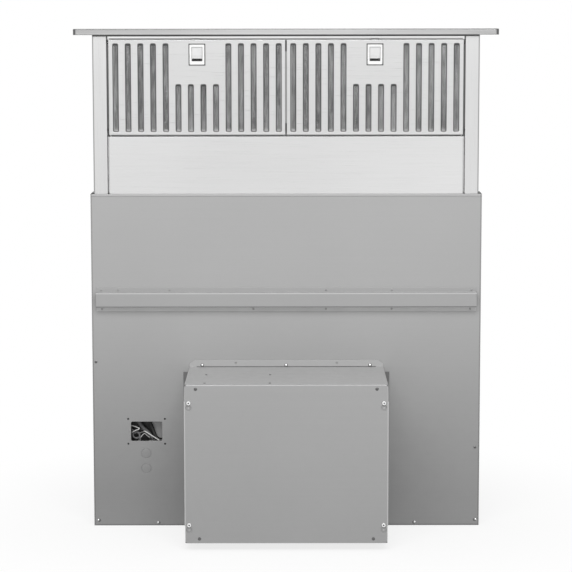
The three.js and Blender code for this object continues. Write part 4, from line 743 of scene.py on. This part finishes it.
def add_shape(shape, name, body, look, outward=True, shading="angle"):
    """Makes a shape into an object, its faces turned outward. Shading is angle, smooth or flat."""
    if outward:
        bmesh.ops.recalc_face_normals(shape, faces=shape.faces)
    mesh = bpy.data.meshes.new(name)
    shape.normal_update()
    shape.to_mesh(mesh)
    shape.free()
    if shading == "smooth":
        mesh.shade_smooth()
    made = add_object(name, mesh, body, look)
    if shading == "angle":
        smooth_by_angle(made)
    return made


def ring_angles(count, offset=0.0):
    return [2 * math.pi * (k + offset) / count for k in range(count)]


def join_rings(shape, rings):
    """Faces between each ring of vertices and the next."""
    for ring, following in zip(rings, rings[1:]):
        for k in range(len(ring)):
            n = (k + 1) % len(ring)
            shape.faces.new([ring[k], ring[n], following[n], following[k]])


def revolved(shape, profile, segments, matrix):
    """Turns (radius, height) pairs about Z and places them; an end on the axis closes."""
    rings = []
    for radius, height in profile:
        angles = ring_angles(segments if radius else 1)
        spots = [(radius * math.cos(angle), radius * math.sin(angle)) for angle in angles]
        rings.append([shape.verts.new(matrix @ Vector((x, y, height))) for x, y in spots])
    for low, high in zip(rings, rings[1:]):
        for i in range(segments):
            j = (i + 1) % segments
            corners = ((low, i), (low, j), (high, j), (high, i))
            corners = list(dict.fromkeys(ring[k % len(ring)] for ring, k in corners))
            if len(corners) > 2:
                shape.faces.new(corners)


def facing(place, normal):
    """A matrix that puts local +Z along normal at place."""
    turn = Vector(normal).to_track_quat("Z", "Y").to_matrix().to_4x4()
    return Matrix.Translation(place) @ turn


def bridge(shape, inner, outer):
    """Joins two rings about one axis with triangles. Each is (angle, vertex), by rising angle."""
    i = j = 0
    while i < len(inner) or j < len(outer):
        if j == len(outer) or i < len(inner) and inner[i][0] <= outer[j][0]:
            corners = inner[i - 1], inner[i], outer[j - 1]
            i += 1
        else:
            corners = outer[j - 1], inner[i - 1], outer[j]
            j += 1
        shape.faces.new([vertex for _, vertex in corners])


def crossed_head(shape, radius, low, dome, matrix):
    """A domed screw head with a cross recess, its rim at low above the seat."""
    reach, half, shrink, stretch = 0.58 * radius, 0.26 * radius / 2, 0.8, 0.86
    recess = low + dome - (dome + 0.6 * low)
    grid = [round(v, 8) for v in (-reach, -half, half, reach)]

    def vertex(x, y, z):
        return shape.verts.new(matrix @ Vector((x, y, z)))

    def domed(x, y):
        return vertex(x, y, low + dome * (1 - (x * x + y * y) / (radius * radius)))

    def cell(i, j):
        return [(grid[i + di], grid[j + dj]) for di, dj in ((0, 0), (1, 0), (1, 1), (0, 1))]

    top, floor = {}, {}
    for x in grid:
        for y in grid:
            top[x, y] = domed(x, y)
            floor[x, y] = vertex(shrink * x, shrink * y, recess)
    cells = [(i, j) for i in range(3) for j in range(3)]
    arms = [(i, j) for i, j in cells if i == 1 or j == 1]
    for i, j in cells:
        level = floor if (i, j) in arms else top
        shape.faces.new([level[corner] for corner in cell(i, j)])
    for i, j in arms:
        for di, dj, ends in ((-1, 0, (0, 3)), (1, 0, (1, 2)), (0, -1, (0, 1)), (0, 1, (3, 2))):
            if (i + di, j + dj) not in arms:
                a, b = (cell(i, j)[end] for end in ends)
                shape.faces.new([top[a], top[b], floor[b], floor[a]])
    turns = ring_angles(24, 0.5)
    rim = [(radius * math.cos(angle), radius * math.sin(angle)) for angle in turns]
    middle = [domed(stretch * x, stretch * y) for x, y in rim]
    outer, seat = ([vertex(x, y, z) for x, y in rim] for z in (low, 0))
    join_rings(shape, (middle, outer, seat))
    edge = [(x, y) for x, y in top if grid[-1] in (abs(x), abs(y))]
    edge = sorted((math.atan2(y, x) % (2 * math.pi), (x, y)) for x, y in edge)
    bridge(shape, [(angle, top[spot]) for angle, spot in edge], list(zip(turns, middle)))


def screws(name, look, places, radius, height, dome):
    """Pan-head screws with a cross recess, one mesh. Each place is (point, outward normal)."""
    random.seed(name)
    shape = bmesh.new()
    for place, normal in places:
        turn = Matrix.Rotation(random.uniform(0, math.pi / 2), 4, "Z")
        crossed_head(shape, radius * MM, height * MM, dome * MM, facing(place, normal) @ turn)
    add_shape(shape, name, "chassis", look)


def rivets(name, look, places, radius, dome):
    """Blind rivets: a low dome with a small open centre."""
    shape = bmesh.new()
    profile = [(1, 0.25), (0.92, 0.55), (0.7, 0.9), (0.45, 1), (0.34, 0.92), (0.30, 0.2), (0, 0.15)]
    profile = [(radius * out * MM, dome * up * MM) for out, up in profile]
    for place, normal in places:
        revolved(shape, [(radius * MM, -0.1 * MM), *profile], 20, facing(place, normal))
    add_shape(shape, name, "chassis", look)


def block(shape, low, high, soften):
    """A box between two corners, its edges rounded by soften."""
    made = bmesh.ops.create_cube(shape, size=1.0)["verts"]
    middle = (Vector(low) + Vector(high)) / 2
    size = Vector(high) - Vector(low)
    for vertex in made:
        vertex.co = vertex.co * size + middle
    if soften:
        edges = list(dict.fromkeys(edge for vertex in made for edge in vertex.link_edges))
        bmesh.ops.bevel(shape, geom=edges, offset=soften, segments=2, affect="EDGES")


def blocks(name, body, look, spans, soften=0.0):
    """Boxes between pairs of corners in millimetres, one mesh."""
    shape = bmesh.new()
    for low, high in spans:
        block(shape, [v * MM for v in low], [v * MM for v in high], soften * MM)
    add_shape(shape, name, body, look, outward=False)


def smooth_route(points, steps=8):
    """Points on a centripetal curve through the given ones, steps to each stretch."""
    spots = [Vector(point) for point in points]
    spots = [2 * spots[0] - spots[1], *spots, 2 * spots[-1] - spots[-2]]
    route = []
    for a, b, c, d in zip(spots, spots[1:], spots[2:], spots[3:]):
        t0 = 0.0
        t1 = t0 + (b - a).length ** 0.5
        t2 = t1 + (c - b).length ** 0.5
        t3 = t2 + (d - c).length ** 0.5
        for i in range(steps):
            t = t1 + (t2 - t1) * i / steps
            p = a.lerp(b, (t - t0) / (t1 - t0))
            q = b.lerp(c, (t - t1) / (t2 - t1))
            r = c.lerp(d, (t - t2) / (t3 - t2))
            u = p.lerp(q, (t - t0) / (t2 - t0))
            v = q.lerp(r, (t - t1) / (t3 - t1))
            route.append(u.lerp(v, (t - t1) / (t2 - t1)))
    return [*route, spots[-2]]


def tube(name, look, points, radius, sides=12, steps=8):
    """A round tube along a smooth route through the points, on the chassis."""
    route = smooth_route(points, steps)
    curve = bpy.data.curves.new(name, "CURVE")
    curve.dimensions = "3D"
    curve.bevel_depth = radius * MM
    curve.bevel_resolution = sides // 4
    curve.use_fill_caps = True
    spline = curve.splines.new("POLY")
    spline.points.add(len(route) - 1)
    for point, spot in zip(spline.points, route):
        point.co = (*spot, 1)
    spline.use_smooth = True
    return add_object(name, curve, "chassis", look)


# ----------------------------------------------------------
# Grease filters: an outer layer of expanded mesh over each core
# ----------------------------------------------------------
MESH_PITCH_X = 5.2 * MM
MESH_PITCH_Z = 2.3 * MM
MESH_LIFT = 0.35 * MM
MESH_RIM, MESH_FOOT = 4.6 * MM, 8.8 * MM
NOTCH_HALF = 0.0556
NOTCH_FLOOR = HINGE[1] + 0.1052
STRAND_WIDTH = 0.8 * MM
STRAND_DEPTH = 0.4 * MM
SLOT_LIP = 1.5 * MM
SLOT_COUNT = 14


def strand(shape, a, b, depth_a, depth_b):
    """A flat ribbon from a to b in X and Z, with its own depth at each end."""
    along = (b - a).normalized()
    across = Vector((-along.y, along.x)) * STRAND_WIDTH / 2
    ends = []
    for spot, depth in ((a, depth_a), (b, depth_b)):
        corners = []
        for side, back in ((-1, 0), (1, 0), (1, 1), (-1, 1)):
            point = spot + across * side
            corners.append(shape.verts.new((point.x, depth + back * STRAND_DEPTH, point.y)))
        ends.append(corners)
    join_rings(shape, ends)


def expanded_mesh(word, side):
    """Crossed strands over a grease filter, left out round the latch."""
    low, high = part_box(f"grease_filter_{word}")
    front = low.y + 0.5 * MM
    x0, x1 = low.x + MESH_RIM, high.x - MESH_RIM
    z0, z1 = low.z + MESH_FOOT, high.z - MESH_RIM

    def inside(x, z):
        aside = abs(x - side * PANEL_X)
        return x0 <= x <= x1 and z0 <= z <= z1 and (aside > NOTCH_HALF or z < NOTCH_FLOOR)

    shape = bmesh.new()
    columns = int((x1 - x0) / MESH_PITCH_X)
    for row in range(int((z1 - z0) / MESH_PITCH_Z)):
        for column in range(-1, columns + 1):
            x = x0 + (column + 0.5 * (row % 2)) * MESH_PITCH_X
            z = z0 + row * MESH_PITCH_Z
            for lean in (-0.5, 0.5):
                end = (x + lean * MESH_PITCH_X, z + MESH_PITCH_Z)
                if inside(x, z) and inside(*end):
                    lift = MESH_LIFT * (lean > 0)
                    depths = front + lift, front + MESH_LIFT - lift
                    strand(shape, Vector((x, z)), Vector(end), *depths)
    name, body = f"filter_mesh_{word}", f"filter_{word}"
    add_shape(shape, name, body, "strand", outward=False, shading="flat")


def rounded_outline(x0, x1, z0, z1, corner, steps=5):
    """Points round a rectangle with rounded corners."""
    spots = []
    for cx, cz, start in ((x1, z1, 0), (x0, z1, 1), (x0, z0, 2), (x1, z0, 3)):
        mx = cx - corner if cx == x1 else cx + corner
        mz = cz - corner if cz == z1 else cz + corner
        for i in range(steps + 1):
            angle = (start + i / steps) * math.pi / 2
            spots.append((mx + corner * math.cos(angle), mz + corner * math.sin(angle)))
    return spots


def slot_shade_rims(word, side):
    """Near-black rims inside the cover's slots, standing in for the shade round each slot, one mesh
    for each panel.
    """
    shape = bmesh.new()
    width, corner = SLOT_SIZE
    front, back = -22.55 * MM, -21.6 * MM
    for i in range(SLOT_COUNT):
        place = i - (SLOT_COUNT - 1) / 2
        x = side * PANEL_X + place * SLOT_PITCH
        x0, x1 = x - width / 2, x + width / 2
        low, high = SLOT_FOOT, SLOT_FOOT + SLOT_HEIGHTS[abs(place) >= 2]
        outer = rounded_outline(x0, x1, low, high, corner)
        # Wider at the top, for the shadow under each slot's top edge.
        inner = rounded_outline(
            x0 + SLOT_LIP, x1 - SLOT_LIP, low + 1.3 * MM, high - 4.2 * MM, 1.9 * MM
        )
        rings = []
        for outline, depth in ((outer, front), (inner, front), (inner, back), (outer, back)):
            rings.append([shape.verts.new((px, depth, pz)) for px, pz in outline])
        join_rings(shape, rings + rings[:1])
    add_shape(shape, f"slot_shade_rims_{word}", f"filter_{word}", "slot_rim")


# ----------------------------------------------------------
# Latch springs and lead screws
# ----------------------------------------------------------
def latch_spring(word, side):
    """Round wire with closed end coils."""
    low, high = SPRING_ENDS
    closed = 2 * SPRING_WIRE
    steps, sides, turns = 156, 10, 6.5
    pitch = (high - low - 3 * closed) / (turns - 2)
    up = Vector(UP)
    rings = []
    shape = bmesh.new()
    for i in range(steps + 1):
        turn = turns * i / steps
        ends = min(turn, 1.0) + max(turn - turns + 1, 0.0)
        rise = ends * closed + min(max(turn - 1.0, 0.0), turns - 2) * pitch
        angle = 2 * math.pi * turn
        out = Vector((math.cos(angle), math.sin(angle), 0))
        centre = Vector((side * PANEL_X, HINGE[0], low + SPRING_WIRE + rise)) + out * SPRING_RADIUS
        around = [math.cos(a) * out + math.sin(a) * up for a in ring_angles(sides)]
        rings.append([shape.verts.new(centre + SPRING_WIRE * spot) for spot in around])
    join_rings(shape, rings)
    shape.faces.new(rings[0])
    shape.faces.new(rings[-1])
    body, slot = f"filter_{word}", "screw_steel"
    made = add_shape(shape, f"latch_coil_{word}", body, "screw_steel", shading="smooth")
    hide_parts(f"latch_spring_{word}")
    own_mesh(made)


def lead_thread(word, side):
    """A lead screw with four starts, 2.5 mm apart, on a 10 mm lead."""
    node = f"lead_screw_{word}"
    low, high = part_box(node)
    foot, top, tip = low.z, high.z, 2.0 * MM
    sides, pitch, starts, depth = 20, 2.5 * MM, 4, 0.8 * MM
    count = int((top - 4 * MM - THREAD_FOOT) / (pitch / 4))
    levels = [foot] + [THREAD_FOOT + i * pitch / 4 for i in range(count + 1)] + [top - tip, top]
    shape = bmesh.new()
    rings = []
    for i, z in enumerate(levels):
        ring = []
        for k, angle in enumerate(ring_angles(sides)):
            phase = (z - THREAD_FOOT) / pitch - starts * k / sides
            groove = max(0.0, min(1.0, 2 - 5 * abs(phase - round(phase))))
            inner = depth * groove if 1 < i < len(levels) - 3 else 0.0
            radius = THREAD_CREST - (tip if z == top else inner)
            x, y = side * LEAD_SCREW_X + radius * math.cos(angle), radius * math.sin(angle)
            ring.append(shape.verts.new((x, y, z)))
        rings.append(ring)
    join_rings(shape, rings)
    shape.faces.new(rings[0][::-1])
    shape.faces.new(rings[-1])
    name = f"lead_thread_{word}"
    made = add_shape(shape, name, node, "thread_steel", outward=False)
    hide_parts(node)


# ----------------------------------------------------------
# Fasteners and knockouts, in millimetres
# ----------------------------------------------------------
COVER_HOLES = (40.25, 27.65)
BEND_HEIGHT, FLANGE_HEIGHT = 523.4, 482
BOX_FLANGE_HEIGHT = 358.2


def on_front(face, spots):
    """Places on a face that looks to the front, from (x, z) in millimetres."""
    return [((x * MM, face, z * MM), FRONT) for x, z in spots]


def add_fasteners():
    faint = [(x, BEND_HEIGHT) for x in (-366.3, -254)]
    rivets("stiffener_plugs", "faint_sheet", on_front(STIFFENER_FACE, faint), 2.4, 0.7)
    rows = [(x, BEND_HEIGHT) for x in (-403.3, 86.5, 230.2, 403.2)]
    rows += [(x, FLANGE_HEIGHT) for x in (-401.6, -71.4, 86.6, 229.3, 400.4)]
    rivets("stiffener_rivets", "dull_screw", on_front(STIFFENER_FACE, rows), 2.4, 0.9)
    foot = [(-413.8, 12.1), (-282.5, 6.4), (415.6, 12.9), (281.7, 7.2)]
    # Painted shadow: dark discs set inward of the foot screws, with the zinc heads set outward, so
    # each shows a dark crescent.
    inward = [(x - math.copysign(1.2, x), z - 0.5) for x, z in foot]
    outward = [(x + math.copysign(0.9, x), z + 0.6) for x, z in foot]
    rivets("foot_screw_shadows", "dark_screw", on_front(CHASSIS_FRONT, inward), 3.6, 0.35)
    screws("foot_screws", "zinc", on_front(CHASSIS_FRONT - 0.25 * MM, outward), 1.8, 0.7, 0.6)
    x0, z0 = (middle / MM for middle in CUTOUT)
    dx, dz = COVER_HOLES
    around = [(x0 + sx * dx, z0 + sz * dz) for sx in (-1, 1) for sz in (-1, 1)]
    rivets("cutout_screws", "black_nylon", on_front(CHASSIS_FRONT, around), 2.3, 0.3)
    edge = [(-416.3, 365.5), (414, 175.2)]
    screws("chassis_screws", "dark_screw", on_front(CHASSIS_FRONT, edge), 2.9, 0.9, 0.9)
    flange = [(x, BOX_FLANGE_HEIGHT) for x in (-183.7, -0.7, 182.9)]
    rivets("flange_washers", "dark_screw", on_front(BLOWER_FLANGE_FACE, flange), 3.9, 0.5)
    screws("flange_screws", "zinc", on_front(BLOWER_FLANGE_FACE - 0.4 * MM, flange), 2.3, 0.9, 0.7)
    along, middle, half = KEYHOLES
    holes = [(x, middle + dz - KEYHOLE_DROP) for x in (-along, along) for dz in (-half, half)]
    # Painted shade: discs darker than the cover, behind the keyholes, for the shade seen through
    # them.
    behind = [((x, COVER_FACE + 1.4 * MM, z), FRONT) for x, z in holes]
    rivets("keyhole_shade_discs", "faint_sheet", behind, 6.0, 0.3)
    corner = [(-189, 345), (189, 345), (-182.5, 26.3), (182.5, 26.3)]
    screws("corner_screws", "dark_screw", on_front(COVER_FACE, corner), 3.6, 0.4, 0.7)
    marks = [(x, y) for x in (-171, -34.5) for y in (-133.5, -239.5)]
    above = [((x * MM, y * MM, BOX_TOP), UP) for x, y in marks]
    rivets("box_top_rivets", "dark_screw", above, 2.6, 1.1)


def add_knockouts():
    shape = bmesh.new()
    profile = [(10.2 * MM, 0), (10.2 * MM, 0.12 * MM), (9.8 * MM, 0.2 * MM), (0, 0.2 * MM)]
    for z in KNOCKOUTS:
        revolved(shape, profile, 40, facing((KNOCKOUT_X, CHASSIS_FRONT, z), FRONT))
    add_shape(shape, "knockout_discs", "chassis", "knockout_sheet")


# ----------------------------------------------------------
# Seals and gaskets, in millimetres
# ----------------------------------------------------------
def add_seals():
    """Foam seals round the panels, clear of the latch tongues, black strips at the ends of the split
    between the panels as painted shade, and a grey strip over the blower box as painted shade along
    the flange's fold.
    """
    rubber = "black_rubber"
    ends = ((-381, -199.1), (-183.6, 183.6), (199.1, 381))
    spans = [((x0, -22.2, 1065.3), (x1, -20.6, 1068.35)) for x0, x1 in ends]
    blocks("header_seal", "riser", "seal_grey", spans, 0.5)
    spans = [((x0, -20.4, 873), (x0 + 3.0, -18.6, 1056)) for x0 in (-385.6, 382.6)]
    blocks("side_seals", "riser", "grey_foam", spans, 0.4)
    # Painted shade: black strips in the ends of the split between the panels.
    spans = [((-0.4, -22.4, 1040), (0.4, -21.2, 1065.4)), ((-0.4, -22.4, 867.5), (0.4, -21.7, 886))]
    blocks("split_shade_strips", "riser", rubber, spans)
    # Painted shade: a grey strip along the blower flange's fold.
    spans = [((-196, -29.2, 354.0), (196, -28.25, 355.3))]
    blocks("flange_fold_shade", "chassis", "grey_foam", spans, 0.3)
    for word, side in SIDES:
        add_latch_seals(f"filter_{word}", word, side * PANEL_X / MM)


def add_latch_seals(panel, word, x):
    """The gasket round a latch's bezel, which also stands in for the shadow gap round it, and a dark
    rim and sill in its window, painted shade round the slider.
    """
    x0, x1, z0, z1 = x - 16, x + 16, 1011.7, 1054.5
    rim, front, back = 2.0, -23.75, -23.0
    spans = [
        ((x0 - rim, front, z0 - rim), (x1 + rim, back, z0)),
        ((x0 - rim, front, z1), (x1 + rim, back, z1 + rim)),
        ((x0 - rim, front, z0), (x0, back, z1)),
        ((x1, front, z0), (x1 + rim, back, z1)),
    ]
    # Black rubber, and painted shadow: the gasket also stands in for the shadow gap round the bezel.
    blocks(f"bezel_gasket_{word}", panel, "black_rubber", spans)
    # Painted shade round the slider: a grey rim on three sides and a black sill below.
    x0, x1, z0, z1 = x - 10.9, x + 10.9, 1019.8, 1048.5
    rim, front, back = 0.9, -24.25, -24.08
    spans = [
        ((x0 - rim, front, z1), (x1 + rim, back, z1 + rim)),
        ((x0 - rim, front, z0), (x0, back, z1)),
        ((x1, front, z0), (x1 + rim, back, z1)),
    ]
    blocks(f"window_rim_{word}", panel, "window_rim", spans)
    sill = [((x0, front, z0 - rim), (x1, back, z0 + 0.2))]
    blocks(f"window_shade_sill_{word}", panel, "black_nylon", sill)


# ----------------------------------------------------------
# Wires in the junction box
# ----------------------------------------------------------
def in_box(*spots):
    """Places from the middle of the cut-out and the box's mouth, in millimetres."""
    return [(CUTOUT[0] + x * MM, BOX_MOUTH + y * MM, CUTOUT[1] + z * MM) for x, y, z in spots]


WHITE_WIRE = in_box(
    (-36.45, 15.5, 9.8), (-33, 15.5, 9.4), (-26, 15.4, 7.4), (-19.9, 15.2, 4.8),
    (-17.3, 15.1, 2.7), (-19.9, 15.3, 1), (-26, 16, -1.6), (-31.8, 17.5, -5.2), (-33.6, 22, -8.2),
    (-32, 29, -10), (-24, 33, -10), (-14, 31, -9), (-9.4, 25, -6), (-6, 18, -3.4),
    (-0.4, 15.5, -6), (7.6, 15.1, -11.1), (16.6, 15.1, -16.9), (20.8, 15.2, -19.6),
    (24, 15.3, -21.3), (25.3, 15.5, -22.4), (25.3, 15.5, -23.85),
)
CABLE = in_box(
    (4.2, 21, 23.85), (4.2, 21, 20.35), (5.4, 21, 16.5), (8, 21, 11.4), (12.5, 21, 0),
    (17, 21, -12), (19.4, 21, -17), (20.6, 21, -20.35), (20.6, 21, -23.85),
)
SLEEVE = in_box(
    (-22, 24, 23.6), (-17, 24, 14), (-8, 25, 2), (0, 26, -6), (6, 28, -14), (10, 28, -23.6),
)
ARC = in_box(
    (-18, 23, -23.6), (-16.6, 22, -20.5), (-14.7, 21, -17.8), (-9, 20.5, -11.1),
    (-5.6, 20.3, -9.2), (-2.3, 20.5, -12.1), (4.5, 21, -17.8), (7, 22, -21), (8, 23, -23.6),
)
COIL_MIDDLE = (-24.2, -12.9)
COIL_RADIUS, COIL_TURNS, COIL_RISE = 7.1, 2.25, 2.145


def coil_route():
    """Two and a quarter turns, from the box's floor to its left wall."""
    (x0, z0), steps = COIL_MIDDLE, 54
    route = [(x0 + COIL_RADIUS + 1.2, 20.2, -23.6), (x0 + COIL_RADIUS + 0.3, 20.4, -18.5)]
    for i in range(steps + 1):
        turn = COIL_TURNS * i / steps
        x = x0 + COIL_RADIUS * math.cos(2 * math.pi * turn)
        z = z0 + COIL_RADIUS * math.sin(2 * math.pi * turn)
        route.append((x, 20.5 + COIL_RISE * turn, z))
    route += [(-29, 26.5, -4), (-33, 28, -1.5), (-36.2, 29, -0.5)]
    return in_box(*route)


def plate(name, look, outline, depth, thickness):
    """A flat piece in the junction box, with its outline in X and Z."""
    shape = bmesh.new()
    front, back = (
        [shape.verts.new(spot) for spot in in_box(*[(x, y, z) for x, z in outline])]
        for y in (depth, depth + thickness)
    )
    shape.faces.new(front)
    shape.faces.new(back)
    join_rings(shape, (front, back))
    bmesh.ops.recalc_face_normals(shape, faces=shape.faces)
    bmesh.ops.bevel(shape, geom=list(shape.edges), offset=0.2 * MM, segments=2, affect="EDGES")
    add_shape(shape, name, "chassis", look, outward=False)


def add_wiring():
    rubber = "black_rubber"
    white = tube("white_wire_run", "white_wire", WHITE_WIRE, 1.35)
    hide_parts("white_wire")
    cable = tube("cable_run", rubber, CABLE, 3.8, 16)
    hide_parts("supply_cable")
    tube("cable_sleeve", "grey_wire", SLEEVE, 4.5, 16)
    tube("white_wire_arc", "white_wire", ARC, 1.0)
    tube("cable_coil", "grey_wire", coil_route(), 1.9, steps=3)
    for word, leg in (("left", ARC[:3]), ("right", ARC[-3:])):
        tube(f"arc_sleeve_{word}", rubber, leg, 1.9)
    x0, y0, z0 = CUTOUT[0] / MM, BOX_MOUTH / MM, CUTOUT[1] / MM
    liner = [
        ((x0 - 36.3, y0 + 36.0, z0 - 23.7), (x0 + 36.3, y0 + 36.6, z0 + 23.7)),
        ((x0 - 36.6, y0 + 18.5, z0 - 23.7), (x0 - 36.1, y0 + 36.0, z0 + 23.7)),
        ((x0 - 36.0, y0 + 2.0, z0 - 24.0), (x0 - 20.5, y0 + 36.0, z0 - 23.6)),
        ((x0 - 14.5, y0 + 2.0, z0 - 24.0), (x0 + 4.5, y0 + 36.0, z0 - 23.6)),
    ]
    blocks("box_liner", "chassis", "black_nylon", liner)
    divider = [(4.3, 23.6), (36.3, 23.6), (36.3, -21), (25.3, -19), (18.3, -11)]
    plate("box_divider", "faint_sheet", divider, 25.3, 0.8)


make_camera()
make_world()
make_floor()
for lamp in LAMPS:
    add_lamp(*lamp)
dress_nodes()
shade_nodes()
for word, side in SIDES:
    expanded_mesh(word, side)
    slot_shade_rims(word, side)
    latch_spring(word, side)
    lead_thread(word, side)
add_fasteners()
add_seals()
add_knockouts()
add_wiring()

scene = bpy.context.scene
scene.view_settings.view_transform = "Standard"
